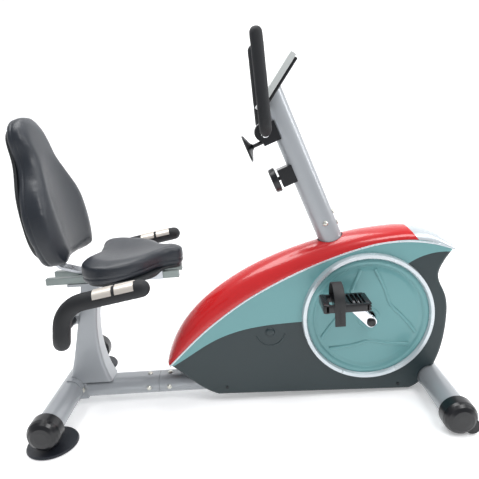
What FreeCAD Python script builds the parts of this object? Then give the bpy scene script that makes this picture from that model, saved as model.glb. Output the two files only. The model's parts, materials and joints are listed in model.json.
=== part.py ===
import FreeCAD, Part
import math
import os
import re
import Sketcher

# A recumbent magnetic exercise bike.
# Frame: +X is forward, the way the rider faces; +Y is the rider's left; +Z is up.
# The origin is on the floor, under the middle of the whole bike. Millimetres and degrees.

Vector = FreeCAD.Vector
ALONG_Y = (Vector(1, 0, 0), -90)
ALONG_X = (Vector(0, 1, 0), 90)

doc = FreeCAD.newDocument("ExerciseBike")
sheet = doc.addObject("Spreadsheet::Sheet", "sizes")

SIZES = [
    # floor frame
    ("rear_x", -585, "rear stabilizer axis"),
    ("wheelbase", 1179, "from rear to front stabilizer axis"),
    ("stabilizer_radius", 38, "stabilizer tube, outside"),
    ("stabilizer_wall", 2, "stabilizer tube wall"),
    ("rear_half_span", 277, "half the rear stabilizer tube"),
    ("front_half_span", 287, "half the front stabilizer tube"),
    ("rear_axis_height", 65, "rear stabilizer axis above the floor"),
    ("end_cap_radius", 48.5, "end caps, outside"),
    ("end_cap_length", 58, "end caps, along the tube"),
    ("end_cap_lap", 34, "how far a cap covers its tube"),
    ("beam_width", 84, "main beam, across"),
    ("beam_height", 60, "main beam, up and down"),
    ("beam_wall", 2, "main beam wall"),
    ("beam_axis_height", 54, "middle of the main beam above the floor"),
    ("splice_ahead", 292, "joint in the beam, ahead of the rear axis"),
    ("splice_gap", 1, "gap at that joint"),
    ("saddle_thickness", 3.5, "stabilizer saddle, round the tube"),
    ("saddle_half_length", 58, "half the saddle along the tube"),
    ("saddle_reach", 12, "saddle block ahead of the tube"),
    ("bolt_head_radius", 8, "domed frame bolts"),
    ("bolt_shank_radius", 4, "frame bolt shank"),
    ("foot_radius", 75, "levelling foot disc"),
    ("foot_thickness", 9, "levelling foot disc"),
    ("foot_y", 232, "levelling feet from the middle"),
    ("foot_stem_radius", 5, "levelling foot screw"),
    ("wheel_radius", 22, "transport wheel"),
    ("wheel_width", 16, "transport wheel"),
    ("wheel_ahead", 31, "transport wheel axis ahead of the front axis"),
    ("wheel_floor_gap", 3, "transport wheel above the floor"),
    ("pin_radius", 3, "wheel pin"),
    # seat frame
    ("post_ahead", 63, "seat post foot, middle, ahead of the rear axis"),
    ("post_foot_length", 150, "seat post foot along the beam"),
    ("post_foot_width", 76, "seat post foot across"),
    ("post_neck_length", 66, "seat post neck along the beam"),
    ("post_neck_width", 58, "seat post neck across"),
    ("post_wall", 2.5, "seat post wall"),
    ("post_lean", 44, "how far the post head is ahead of its foot"),
    ("rail_top", 456, "top of the seat rails"),
    ("rail_height", 22, "seat rail section height"),
    ("rail_width", 20, "seat rail section width"),
    ("rail_spacing", 75, "seat rail centres"),
    ("rail_length", 420, "seat rails"),
    ("rail_behind", 22, "rail ends behind the rear axis"),
    ("head_plate", 8, "plate between post and rails"),
    ("slide_clearance", 0.4, "between sliding seat pieces"),
    ("carriage_ahead", 158, "seat carriage rear end"),
    ("carriage_length", 190, "seat carriage"),
    ("carriage_plate", 5, "seat carriage plate"),
    ("seat_ahead", 122, "rear edge of the seat"),
    ("seat_length", 298, "seat"),
    ("seat_half_width", 190, "half the seat across the rear lobes"),
    ("nose_half_width", 48, "half the seat across its nose"),
    ("seat_thickness", 56, "seat pad"),
    ("board_thickness", 9, "boards under the pads"),
    ("board_inset", 18, "boards stand in from the pad edge"),
    ("back_ahead", 46, "foot of the backrest pad, middle of its thickness"),
    ("back_foot_height", 505, "foot of the backrest pad above the floor"),
    ("back_length", 459, "backrest pad"),
    ("back_half_width", 180, "half the backrest at its widest"),
    ("back_top_half_width", 92, "half the backrest near its top"),
    ("back_thickness", 50, "backrest pad at its top"),
    ("back_bolster", 25, "how much thicker the backrest is at its lower sides"),
    ("back_dish", 20, "hollow down the middle of the backrest"),
    ("back_lean", 10, "backrest from upright"),
    ("strap_width", 44, "backrest strap"),
    ("strap_thickness", 8, "backrest strap"),
    ("strap_gap", 3, "backrest strap behind the foot of the board"),
    # hand rails beside the seat
    ("rail_grip_y", 308, "side grips from the middle"),
    ("rail_grip_front", 339, "front of the side grips, ahead of the rear axis"),
    ("rail_grip_height", 496, "front of the side grips above the floor"),
    ("hand_rail_radius", 14, "hand rail tube"),
    ("hand_rail_wall", 2, "hand rail tube"),
    ("hand_foam_radius", 23, "side grip foam"),
    ("hand_rail_cross_height", 304, "crossing behind the seat post"),
    ("hand_rail_cross_ahead", 32, "crossing, ahead of the rear axis"),
    ("pulse_plate_length", 50, "pulse sensor plate"),
    ("pulse_plate_gap", 9, "between the two plates of a grip"),
    ("pulse_plate_depth", 2, "pulse sensor plate"),
    # mast, handlebar and console
    ("mast_ahead", 878, "mast axis where it leaves the cover"),
    ("mast_foot_height", 519, "the same point above the floor"),
    ("mast_lean", 20.2, "mast back from upright"),
    ("mast_radius", 37, "mast tube, outside"),
    ("mast_wall", 2.5, "mast tube wall"),
    ("mast_length", 560, "mast above that point, before the console trims it"),
    ("mast_below", 32, "mast below that point"),
    ("stub_above", 96, "stub inside the mast above that point"),
    ("bar_up", 382, "handlebar axis along the mast"),
    ("bar_back", 62, "handlebar axis behind the mast axis"),
    ("bar_radius", 12.5, "handlebar tube"),
    ("bar_wall", 2, "handlebar tube"),
    ("bar_half_width", 165, "half the handlebar across its uprights"),
    ("bar_rise", 252, "handlebar uprights"),
    ("bar_lean", 12, "top of the uprights behind their foot"),
    ("bar_bend", 48, "handlebar bend radius"),
    ("bar_foam_radius", 17, "handlebar foam"),
    ("clamp_radius", 28, "handlebar clamp, outside"),
    ("clamp_half_length", 34, "half the clamp across"),
    ("clamp_jaw", 38, "lower jaw of the clamp, below the handlebar"),
    ("running_clearance", 0.05, "radial clearance of running fits"),
    ("knob_reach", 60, "clamp knob, from the stem's foot to its head"),
    ("knob_radius", 43, "clamp knob head"),
    ("knob_stem_radius", 6, "clamp knob stem"),
    ("dial_up", 235, "tension dial along the mast"),
    ("dial_radius", 39, "tension dial"),
    ("dial_thickness", 20, "tension dial"),
    ("dial_housing_length", 55, "tension housing along the mast"),
    ("dial_housing_width", 54, "tension housing across"),
    ("dial_housing_depth", 34, "tension housing in front of the mast"),
    ("dial_gap", 6, "gap between housing and dial"),
    ("console_up", 490, "console middle along the mast"),
    ("console_back", -26, "console middle behind the mast axis"),
    ("console_tilt", 36.5, "console from upright, top forward"),
    ("console_length", 172, "console, up its slope"),
    ("console_half_width", 98, "half the console across"),
    ("console_front_depth", 17, "console front body"),
    ("console_back_depth", 9, "console rear shell"),
    ("lens_length", 74, "display lens, up the slope"),
    ("lens_half_width", 62, "half the display lens across"),
    ("lens_depth", 2, "display lens"),
    ("button_radius", 9, "console buttons"),
    ("button_stroke", 1.5, "console button travel"),
    ("button_spread", 40, "console buttons from the middle"),
    # drive
    ("crank_ahead", 977, "crank axis ahead of the rear axis"),
    ("crank_height", 273, "crank axis above the floor"),
    ("crank_length", 128, "crank arm"),
    ("crank_angle", 135, "right crank arm from forward, upwards"),
    ("crank_arm_y", 104, "inner face of the crank arms"),
    ("crank_arm_thickness", 12, "crank arm"),
    ("axle_radius", 10, "crank axle"),
    ("shell_radius", 24, "bottom bracket shell, outside"),
    ("bearing_radius", 19, "crank bearing, outside"),
    ("bearing_width", 12, "crank bearing"),
    ("shell_half_length", 35, "half the bottom bracket shell"),
    ("belt_y", 44, "middle of the belt"),
    ("pulley_width", 12, "belt pulleys"),
    ("drive_pulley_radius", 105, "drive pulley"),
    ("small_pulley_radius", 21, "flywheel pulley"),
    ("belt_thickness", 3, "drive belt"),
    ("belt_clearance", 0.3, "drive belt to pulleys"),
    ("flywheel_ahead", 700, "flywheel axis ahead of the rear axis"),
    ("flywheel_height", 236, "flywheel axis above the floor"),
    ("flywheel_radius", 125, "flywheel"),
    ("flywheel_width", 22, "flywheel rim"),
    ("flywheel_web", 8, "flywheel web"),
    ("flywheel_axle_radius", 6, "flywheel axle"),
    ("fork_thickness", 4, "flywheel fork plates"),
    ("magnet_gap", 2.5, "magnet bracket to flywheel"),
    ("magnet_thickness", 11, "magnet bracket"),
    # pedals
    ("pedal_length", 136, "pedal, fore and aft"),
    ("pedal_width", 92, "pedal, across"),
    ("pedal_thickness", 28, "pedal"),
    ("pedal_gap", 6, "pedal to crank arm"),
    ("spindle_radius", 6, "pedal spindle"),
    ("strap_band", 30, "pedal strap band"),
    ("pedal_strap_thickness", 3, "pedal strap"),
    ("strap_tail", 38, "loose end of the pedal strap"),
    # plastic covers
    ("cover_rear", 341, "rear tip of the cover, ahead of the rear axis"),
    ("cover_tip_height", 142, "rear tip of the cover above the floor"),
    ("cover_length", 902, "cover from tip to nose"),
    ("cover_rise", 370, "shoulder line above the rear tip"),
    ("cover_half_width", 68, "half the cover"),
    ("cover_wall", 3, "cover wall"),
    ("cover_edge", 11, "rounding of the cover's lower edges"),
    ("cover_floor_gap", 9, "cover above the floor, in front"),
    ("cover_rear_gap", 28, "cover above the floor, behind"),
    ("crown_height", 70, "crown above the shoulder line, at its highest"),
    ("seam_gap", 0.3, "between the crown and the side shells"),
    ("disc_radius", 206, "round side covers with their rings"),
    ("disc_depth", 10, "round side covers"),
    ("ring_width", 17, "rings round them"),
    ("ring_depth", 18, "rings round them"),
    ("axle_hole_radius", 22, "hole round the crank axle"),
    ("screw_radius", 5, "cover screws"),
]

for row, (alias, value, note) in enumerate(SIZES, start=1):
    sheet.set(f"A{row}", alias)
    sheet.set(f"B{row}", str(value))
    sheet.set(f"C{row}", note)
    sheet.setAlias(f"B{row}", alias)
doc.recompute()

ALIASES = {alias for alias, _, _ in SIZES}


def bound(text):
    """The same expression, with each named size pointed at the sheet."""
    return re.sub(r"[a-z_]+", lambda word: "sizes." + word[0] if word[0] in ALIASES else word[0], str(text))


def size(text):
    """What an expression of named sizes is worth now."""
    return float(sheet.evalExpression(bound(text)))


def at(ahead, across, up):
    """A point measured forward from the rear stabilizer axis."""
    return Vector(size("rear_x") + ahead, across, up)


# ---- document objects whose sizes are bound to the sheet ----

def place(thing, x="0", y="0", z="0", turn=None):
    """Put an object down; turn is an axis and an angle, which may be an expression."""
    if turn:
        thing.Placement = FreeCAD.Placement(Vector(), FreeCAD.Rotation(turn[0], size(turn[1])))
        thing.setExpression("Placement.Rotation.Angle", bound(turn[1]))
    for letter, text in zip("xyz", (x, y, z)):
        thing.setExpression("Placement.Base." + letter, bound(text))
    return thing


def cylinder(name, radius, length, x="0", y="0", z="0", turn=ALONG_Y):
    thing = doc.addObject("Part::Cylinder", name)
    thing.setExpression("Radius", bound(radius))
    thing.setExpression("Height", bound(length))
    return place(thing, x, y, z, turn)


def box(name, length, width, height, x="0", y="0", z="0", turn=None):
    thing = doc.addObject("Part::Box", name)
    thing.setExpression("Length", bound(length))
    thing.setExpression("Width", bound(width))
    thing.setExpression("Height", bound(height))
    return place(thing, x, y, z, turn)


def fuse(name, *parts):
    thing = doc.addObject("Part::MultiFuse", name)
    thing.Shapes = list(parts)
    thing.Refine = False
    return thing


def common(name, base, tool):
    thing = doc.addObject("Part::Common", name)
    thing.Base = base
    thing.Tool = tool
    return thing


def cut(name, base, *tools):
    thing = doc.addObject("Part::Cut", name)
    thing.Base = base
    thing.Tool = tools[0] if len(tools) == 1 else fuse(name + "_tools", *tools)
    thing.Refine = False
    return thing


def group(name, *parts):
    """Separate solids that share one node."""
    thing = doc.addObject("Part::Compound", name)
    thing.Links = list(parts)
    return thing


def made(name, shape):
    """A free-form piece, worked out from the sheet."""
    thing = doc.addObject("Part::Feature", name)
    thing.Shape = shape
    return thing


def outline_sketch(body, points, role="XZ_Plane"):
    """A closed outline on one of the body's own planes, each corner held by two sizes."""
    sketch = body.newObject("Sketcher::SketchObject", body.Name + "_outline")
    plane = [item for item in body.Origin.OriginFeatures if item.Role == role][0]
    sketch.AttachmentSupport = [(plane, "")]
    sketch.MapMode = "FlatFace"
    corners = [Vector(size(u), size(v), 0) for u, v in points]
    for index, corner in enumerate(corners):
        following = corners[(index + 1) % len(corners)]
        sketch.addGeometry(Part.LineSegment(corner, following), False)
    for index in range(len(corners)):
        sketch.addConstraint(Sketcher.Constraint("Coincident", index, 2, (index + 1) % len(corners), 1))
    for index, (u, v) in enumerate(points):
        for kind, text in (("DistanceX", u), ("DistanceY", v)):
            made_at = sketch.addConstraint(Sketcher.Constraint(kind, -1, 1, index, 1, size(text)))
            sketch.setExpression(f"Constraints[{made_at}]", bound(text))
    return sketch


def turned(name, profile, x="0", y="0", z="0", turn=ALONG_Y):
    """A lathe-turned piece: its profile is (radius, distance along the axis)."""
    body = doc.addObject("PartDesign::Body", name + "_body")
    sketch = outline_sketch(body, profile)
    feature = body.newObject("PartDesign::Revolution", name + "_turned")
    feature.Profile = sketch
    feature.ReferenceAxis = (sketch, ["V_Axis"])
    feature.Angle = 360
    body.Tip = feature
    return place(body, x, y, z, turn)


NODES = {}


def node(name, thing):
    """Name a finished sub-part."""
    thing.Label = name
    NODES[name] = thing
    return thing


# ---- shapes worked out in code ----

def arc_between(first, corner, last, radius):
    """The tangent arc that rounds a corner, as its start, middle and end."""
    back = (first - corner).normalize()
    onward = (last - corner).normalize()
    half = back.getAngle(onward) / 2
    reach = radius / math.tan(half)
    middle_way = (back + onward).normalize()
    depth = radius / math.sin(half) - radius
    return corner + back * reach, corner + middle_way * depth, corner + onward * reach


def bent_path(points, radii):
    """Straight runs joined by tangent arcs."""
    edges = []
    start = points[0]
    for index, radius in enumerate(radii, start=1):
        begin, middle, end = arc_between(points[index - 1], points[index], points[index + 1], radius)
        edges.append(Part.LineSegment(start, begin).toShape())
        edges.append(Part.Arc(begin, middle, end).toShape())
        start = end
    edges.append(Part.LineSegment(start, points[-1]).toShape())
    return Part.Wire(edges)


def rod_along(path, radius):
    first = path.Edges[0]
    start = first.valueAt(first.FirstParameter)
    circle = Part.makeCircle(radius, start, first.tangentAt(first.FirstParameter))
    return path.makePipeShell([Part.Wire(circle)], True, False)


def block(x_low, x_high, y_low, y_high, z_low, z_high):
    return Part.makeBox(x_high - x_low, y_high - y_low, z_high - z_low, Vector(x_low, y_low, z_low))


def loft(wires):
    """A closed loft with its faces pointing outwards."""
    solid = Part.makeLoft(wires, True, False)
    if solid.Volume < 0:
        solid.reverse()
    return solid


def mirrored(shape):
    return shape.mirror(Vector(), Vector(0, 1, 0))


def spline(points, **ends):
    curve = Part.BSplineCurve()
    curve.interpolate(points, **ends)
    return curve.toShape()


def side_face(edges):
    return Part.Face(Part.Wire(Part.sortEdges(edges)[0]))


def wide_prism(face, half_width):
    """A flat side-view face, thickened evenly to both sides."""
    prism = face.extrude(Vector(0, 2 * half_width, 0))
    prism.translate(Vector(0, -half_width, 0))
    return prism


# ---- floor frame ----
FRONT_X = "rear_x + wheelbase"
FRONT_Z = "end_cap_radius"
BEAM_END_BACK = "rear_x + stabilizer_radius + saddle_reach"
BEAM_END_FRONT = "rear_x + wheelbase - stabilizer_radius - saddle_reach"
BEAM_TOP = "beam_axis_height + beam_height / 2"


def oval_bar(name, inset, start, length):
    """A flat-oval bar along X; inset makes the inside of the tube."""
    flat = "beam_width - beam_height"
    radius = f"beam_height / 2 - {inset}"
    middle = box(name + "_web", length, flat, f"beam_height - 2 * {inset}",
                 start, f"-({flat}) / 2", f"beam_axis_height - beam_height / 2 + {inset}")
    sides = [cylinder(f"{name}_side_{side}", radius, length, start, f"{sign}({flat}) / 2",
                      "beam_axis_height", ALONG_X)
             for side, sign in (("right", "-"), ("left", ""))]
    return fuse(name, middle, *sides)


def beam(name, start, end):
    length = f"({end}) - ({start})"
    outer = oval_bar(name + "_outer", "0", start, length)
    inner = oval_bar(name + "_inner", "beam_wall", start, length)
    return node(name, cut(name + "_tube", outer, inner))


def stabilizer(name, x, z, half_span, holes=()):
    outer = cylinder(name + "_outer", "stabilizer_radius", f"2 * {half_span}", x, f"-{half_span}", z)
    inner = cylinder(name + "_inner", "stabilizer_radius - stabilizer_wall", f"2 * {half_span}",
                     x, f"-{half_span}", z)
    return node(name, cut(name + "_tube", outer, inner, *holes))


def foot_hole(side, sign):
    return cylinder(f"foot_hole_{side}", "foot_stem_radius + slide_clearance", "rear_axis_height",
                    "rear_x", f"{sign}foot_y", "0", (Vector(0, 0, 1), 0))


def saddle(name, x, z, forward):
    """A half sleeve round the stabilizer, with a block that the beam butts on."""
    sleeve = cylinder(name + "_sleeve", "stabilizer_radius + saddle_thickness",
                      "2 * saddle_half_length", x, "-saddle_half_length", z)
    reach = "stabilizer_radius + saddle_reach"
    start = x if forward else f"{x} - ({reach})"
    web = box(name + "_web", reach, "beam_width - 8", "beam_height - 4",
              start, "-(beam_width - 8) / 2", "beam_axis_height - beam_height / 2 + 2")
    tube = cylinder(name + "_tube_gap", "stabilizer_radius", "4 * saddle_half_length",
                    x, "-2 * saddle_half_length", z)
    half = "stabilizer_radius + saddle_thickness + 1"
    away = f"{x} - ({half}) * 2 - 6" if forward else f"{x} + 6"
    open_side = box(name + "_open_side", f"({half}) * 2", "4 * saddle_half_length", f"({half}) * 2",
                    away, "-2 * saddle_half_length", f"{z} - ({half})")
    return cut(name, fuse(name + "_body", sleeve, web), tube, open_side)


def end_cap(name, x, y, z, turn):
    """A domed cap that slips over a stabilizer end."""
    rim = "end_cap_radius"
    bore = "stabilizer_radius"
    profile = [(bore, "0"), (f"{rim} - 2", "0"), (rim, "3"), (rim, "end_cap_length - 24"),
               (f"{rim} - 2.5", "end_cap_length - 15"), (f"{rim} - 8", "end_cap_length - 7"),
               (f"{rim} - 18", "end_cap_length - 1.5"), (f"{rim} - 30", "end_cap_length"),
               ("0", "end_cap_length"), ("0", "end_cap_lap"), (bore, "end_cap_lap")]
    return turned(name, profile, x, y, z, turn)


def caps(name, x, z, half_span):
    inset = f"({half_span} - end_cap_lap)"
    return [end_cap(f"{name}_right", x, f"-{inset}", z, (Vector(1, 0, 0), 90)),
            end_cap(f"{name}_left", x, inset, z, ALONG_Y)]


beam("rear_beam", BEAM_END_BACK, "rear_x + splice_ahead - splice_gap / 2")
beam("main_beam", "rear_x + splice_ahead + splice_gap / 2", BEAM_END_FRONT)
stabilizer("rear_stabilizer", "rear_x", "rear_axis_height", "rear_half_span",
           [foot_hole("right", "-"), foot_hole("left", "")])
stabilizer("front_stabilizer", FRONT_X, FRONT_Z, "front_half_span")
node("stabilizer_saddles", group("stabilizer_saddles",
                                 saddle("rear_saddle", "rear_x", "rear_axis_height", True),
                                 saddle("front_saddle", FRONT_X, FRONT_Z, False)))
node("rear_end_caps", group("rear_end_caps",
                            *caps("rear_cap", "rear_x", "rear_axis_height", "rear_half_span")))

WHEEL_X = "rear_x + wheelbase + wheel_ahead"
WHEEL_Z = "wheel_radius + wheel_floor_gap"
WHEEL_Y = "front_half_span - end_cap_lap + end_cap_length / 2 + 14"


def front_cap(side, sign, plain_cap):
    """An end cap with a slot for its transport wheel, and the wheel's pin."""
    slot = box(f"wheel_slot_{side}", "end_cap_radius", "wheel_width + 3", "2 * wheel_radius + 8",
               f"{WHEEL_X} - wheel_radius - 3", f"{sign}({WHEEL_Y}) - wheel_width / 2 - 1.5",
               f"{WHEEL_Z} - wheel_radius - 8")
    pin = cylinder(f"wheel_pin_{side}", "pin_radius", "wheel_width + 3",
                   WHEEL_X, f"{sign}({WHEEL_Y}) - wheel_width / 2 - 1.5", WHEEL_Z)
    return fuse(f"front_cap_{side}_with_pin", cut(f"front_cap_{side}_slotted", plain_cap, slot), pin)


plain = caps("front_cap", FRONT_X, FRONT_Z, "front_half_span")
node("front_end_caps", group("front_end_caps", front_cap("right", "-", plain[0]),
                             front_cap("left", "", plain[1])))

for side, sign in (("right", "-"), ("left", "")):
    node(f"transport_wheel_{side}",
         turned(f"transport_wheel_{side}",
                [("pin_radius + running_clearance", "0"), ("wheel_radius - 3", "0"),
                 ("wheel_radius", "3"), ("wheel_radius", "wheel_width - 3"),
                 ("wheel_radius - 3", "wheel_width"), ("pin_radius + running_clearance", "wheel_width")],
                WHEEL_X, f"{sign}({WHEEL_Y}) - wheel_width / 2", WHEEL_Z))
    node(f"levelling_foot_{side}",
         turned(f"levelling_foot_{side}",
                [("0", "0"), ("foot_radius - 4", "0"), ("foot_radius", "3"),
                 ("foot_radius - 3", "foot_thickness"), ("20", "foot_thickness + 2"),
                 ("15", "foot_thickness + 6"), ("foot_stem_radius", "foot_thickness + 6"),
                 ("foot_stem_radius", "rear_axis_height + 10"), ("0", "rear_axis_height + 10")],
                "rear_x", f"{sign}foot_y", "0", (Vector(0, 0, 1), 0)))


# ---- seat frame ----
HEAD_TOP = "rail_top - rail_height"
POST_TOP = f"{HEAD_TOP} - head_plate"


def rounded_rectangle(middle_x, z, length, width, radius):
    """A level rounded rectangle, as one wire."""
    flat = Part.makePlane(length, width, Vector(middle_x - length / 2, -width / 2, z))
    solid = flat.extrude(Vector(0, 0, 1))
    upright = [edge for edge in solid.Edges if abs(edge.tangentAt(0).z) > 0.9]
    rounded = solid.makeFillet(radius, upright)
    bottom = min(rounded.Faces, key=lambda face: face.CenterOfMass.z)
    return bottom.OuterWire


def post_loft(inset):
    """The seat post flares from a slim neck to a long foot on the beam."""
    foot_z = size(BEAM_TOP)
    top_z = size(POST_TOP)
    foot_length = size("post_foot_length")
    neck_length = size("post_neck_length")
    foot_x = size("rear_x + post_ahead")
    lean = size("post_lean")
    corner = 10
    rows = []
    for up, length_share, lean_share in ((0, 1, 0), (0.1, 0.66, 0.02), (0.28, 0.3, 0.08),
                                         (0.52, 0.03, 0.27), (0.76, -0.08, 0.62), (1, -0.08, 1)):
        length = neck_length + (foot_length - neck_length) * length_share - 2 * inset
        share = max(length_share, 0)
        width = size("post_neck_width + (post_foot_width - post_neck_width)") * share
        width += size("post_neck_width") * (1 - share) - 2 * inset
        rows.append(rounded_rectangle(foot_x + lean * lean_share, foot_z + (top_z - foot_z) * up,
                                      length, width, corner - inset))
    return loft(rows)


def seat_post():
    shell = post_loft(0).cut(post_loft(size("post_wall")))
    middle_x = size("rear_x + post_ahead + post_lean")
    half = size("rail_spacing / 2 + rail_width / 2 + 4")
    head = block(middle_x - 62, middle_x + 78, -half, half, size(POST_TOP), size(HEAD_TOP))
    sleeve = Part.makeCylinder(size("stabilizer_radius + saddle_thickness") + 0.1, 400,
                               at(0, -200, size("rear_axis_height")), Vector(0, 1, 0))
    return shell.cut(sleeve).fuse(head)


def rail(side, sign):
    wall = "2"
    start = "rear_x - rail_behind"
    low_y = f"{sign}rail_spacing / 2 - rail_width / 2"
    outer = box(f"rail_{side}_outer", "rail_length", "rail_width", "rail_height", start, low_y, HEAD_TOP)
    inner = box(f"rail_{side}_inner", "rail_length - 8", f"rail_width - 2 * {wall}",
                f"rail_height - 2 * {wall}", f"{start} + 4", f"{low_y} + {wall}", f"{HEAD_TOP} + {wall}")
    return cut(f"rail_{side}", outer, inner)


node("seat_rails", group("seat_rails", rail("right", "-"), rail("left", "")))

CARRIAGE_TOP = "rail_top + slide_clearance + carriage_plate"


def seat_carriage():
    """A plate that slides on the rails, with a keel between them and a skirt each side."""
    start = "rear_x + carriage_ahead"
    half = "rail_spacing / 2 + rail_width / 2 + slide_clearance + 4"
    keel_half = "rail_spacing / 2 - rail_width / 2 - slide_clearance"
    plate = box("carriage_plate_piece", "carriage_length", f"2 * ({half})", "carriage_plate",
                start, f"-({half})", "rail_top + slide_clearance")
    keel = box("carriage_keel", "carriage_length - 40", f"2 * ({keel_half})", "rail_height - 6",
               f"{start} + 20", f"-({keel_half})", f"{HEAD_TOP} + 6 + slide_clearance")
    keel_gap = box("carriage_keel_gap", "carriage_length", f"2 * ({keel_half} - 3)", "rail_height",
                   start, f"-({keel_half} - 3)", f"{HEAD_TOP} + 5")
    skirts = [box(f"carriage_skirt_{side}", "carriage_length", "4", "rail_height",
                  start, place_y, f"{HEAD_TOP} + slide_clearance")
              for side, place_y in (("right", f"-({half})"), ("left", f"({half}) - 4"))]
    hollow_keel = cut("carriage_hollow_keel", keel, keel_gap)
    return fuse("seat_carriage_body", plate, hollow_keel, *skirts)


node("seat_carriage", seat_carriage())

LOCK_Y = "rail_spacing / 2 + rail_width / 2 + slide_clearance + 4"


def seat_lock():
    """A cam lever on the carriage's left skirt."""
    x = "rear_x + carriage_ahead + 120"
    z = f"{HEAD_TOP} + 11"
    hub = cylinder("lock_hub", "9", "8", x, f"{LOCK_Y} + 0.4", z)
    arm = box("lock_arm", "70", "6", "10", x, f"{LOCK_Y} + 1.4", f"{z} - 5")
    grip = cylinder("lock_grip", "9", "52", f"{x} + 66", f"{LOCK_Y} + 1.4", z)
    return fuse("seat_lock_body", hub, arm, grip)


node("seat_lock_lever", seat_lock())


def seat_outline(inset):
    """Wide rear lobes that draw in to a narrow nose; a shallow notch behind."""
    length = size("seat_length")
    half = size("seat_half_width") - inset
    nose = size("nose_half_width") - inset / 2
    rear = size("seat_ahead") + inset
    front = size("seat_ahead") + length - inset
    right_side = [(rear + 8, 0), (rear, -0.45 * half), (rear + 12, -0.86 * half),
                  (rear + 0.18 * length, -half), (rear + 0.42 * length, -0.93 * half),
                  (rear + 0.66 * length, -0.62 * half), (front - 0.14 * length, -nose),
                  (front - 0.02 * length, -0.55 * nose), (front, 0)]
    left_side = [(ahead, -across) for ahead, across in reversed(right_side[1:-1])]
    return [at(ahead, across, 0) for ahead, across in right_side + left_side]


def seat_slab(inset, low, high, rounding):
    curve = Part.BSplineCurve()
    curve.interpolate(seat_outline(inset), PeriodicFlag=True)
    slab = Part.Face(Part.Wire(curve.toShape())).extrude(Vector(0, 0, high - low))
    slab.translate(Vector(0, 0, low))
    return slab.makeFillet(rounding, slab.Edges[:]) if rounding else slab


BOARD_TOP = f"{CARRIAGE_TOP} + board_thickness"
node("seat_board", made("seat_board", seat_slab(size("board_inset"), size(CARRIAGE_TOP), size(BOARD_TOP), 0)))


def rim_edges(slab):
    """The edges round the top and bottom of a slab, without its seam."""
    return [edge for edge in slab.Edges if edge.Length > 300]


def seat_pad():
    slab = seat_slab(0, size(BOARD_TOP), size(f"{BOARD_TOP} + seat_thickness"), 0)
    return slab.makeFillet(size("seat_thickness") * 0.24, rim_edges(slab))


node("seat_pad", made("seat_pad", seat_pad()))


def back_outline(inset):
    """Narrow top, widest a third of the way up, drawn in to the foot."""
    length = size("back_length")
    half = size("back_half_width") - inset
    top = size("back_top_half_width") - inset
    right_side = [(0, inset), (-0.5 * half, inset), (-0.8 * half, inset + 16),
                  (-0.95 * half, 0.15 * length), (-half, 0.31 * length), (-0.82 * half, 0.53 * length),
                  (-(half + 2 * top) / 3.6, 0.732 * length), (-top, 0.904 * length - inset / 2),
                  (-0.62 * top, 0.978 * length - inset), (0, length - inset)]
    left_side = [(-across, up) for across, up in reversed(right_side[1:-1])]
    return [Vector(0, across, up) for across, up in right_side + left_side]


def lean_back(slab):
    """From the backrest's own upright frame to its place on the bike."""
    slab.rotate(Vector(), Vector(0, 1, 0), -size("back_lean"))
    slab.translate(at(size("back_ahead"), 0, size("back_foot_height")))
    return slab


def back_slab(inset, rear, front):
    """An upright slab with the backrest's outline, from its rear face to its front face."""
    curve = Part.BSplineCurve()
    curve.interpolate(back_outline(inset), PeriodicFlag=True)
    slab = Part.Face(Part.Wire(curve.toShape())).extrude(Vector(front - rear, 0, 0))
    slab.translate(Vector(rear, 0, 0))
    return slab


def backrest_pad():
    """Thin at the top, thick at the lower sides and hollow down the middle."""
    length = size("back_length")
    rear = -size("back_thickness") / 2
    front = size("back_bolster") - rear
    fall = [Vector(front, 0, 0.22 * length), Vector(front - 0.1 * (front + rear), 0, 0.46 * length),
            Vector(-rear + 0.12 * (front + rear), 0, 0.78 * length), Vector(-rear, 0, length + 20)]
    corners = [Vector(-rear, 0, length + 20), Vector(rear - 1, 0, length + 20), Vector(rear - 1, 0, -20),
               Vector(front, 0, -20), Vector(front, 0, 0.22 * length)]
    sides = [Part.LineSegment(*pair).toShape() for pair in zip(corners, corners[1:])]
    pad = back_slab(0, rear, front).common(wide_prism(side_face([spline(fall)] + sides), 400))
    dish_radius = 360
    dish = Part.makeCylinder(dish_radius, 2 * length,
                             Vector(front + dish_radius - size("back_dish"), 0, -length / 2))
    pad = pad.cut(dish)
    back_face = min(pad.Faces, key=lambda face: face.CenterOfMass.x)
    pad = pad.makeFillet(size("back_thickness") * 0.24, back_face.Edges)
    return lean_back(pad)


node("backrest_pad", made("backrest_pad", backrest_pad()))
BACK_REAR = -size("back_thickness / 2")
node("backrest_board", made("backrest_board", lean_back(
    back_slab(size("board_inset") * 1.6, BACK_REAR - size("board_thickness"), BACK_REAR))))


def backrest_strap():
    """A flat steel strap from the carriage up behind the backrest board."""
    lean = size("back_lean")
    thick = size("strap_thickness")
    foot = at(size("back_ahead"), 0, size("back_foot_height"))
    lean_up = Vector(-math.sin(math.radians(lean)), 0, math.cos(math.radians(lean)))
    lean_out = Vector(-math.cos(math.radians(lean)), 0, -math.sin(math.radians(lean)))
    behind = foot + lean_out * size("back_thickness / 2 + board_thickness + strap_thickness / 2")
    under = size("rail_top + slide_clearance - strap_thickness / 2")
    path = [at(size("carriage_ahead") + 26, 0, under), at(size("carriage_ahead") - 40, 0, under),
            behind - lean_up * 14, behind + lean_up * 300]
    wire = bent_path(path, (34, 30))
    left_edge = wire.makeOffset2D(thick / 2, 0, False, True)
    right_edge = wire.makeOffset2D(-thick / 2, 0, False, True)
    ends = [Part.LineSegment(left_edge.OrderedVertexes[end].Point,
                             right_edge.OrderedVertexes[end].Point).toShape() for end in (0, -1)]
    face = side_face(left_edge.Edges + right_edge.Edges + ends)
    return wide_prism(face, size("strap_width") / 2)


node("backrest_bracket", made("backrest_bracket", backrest_strap()))


# ---- hand rails beside the seat ----

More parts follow.
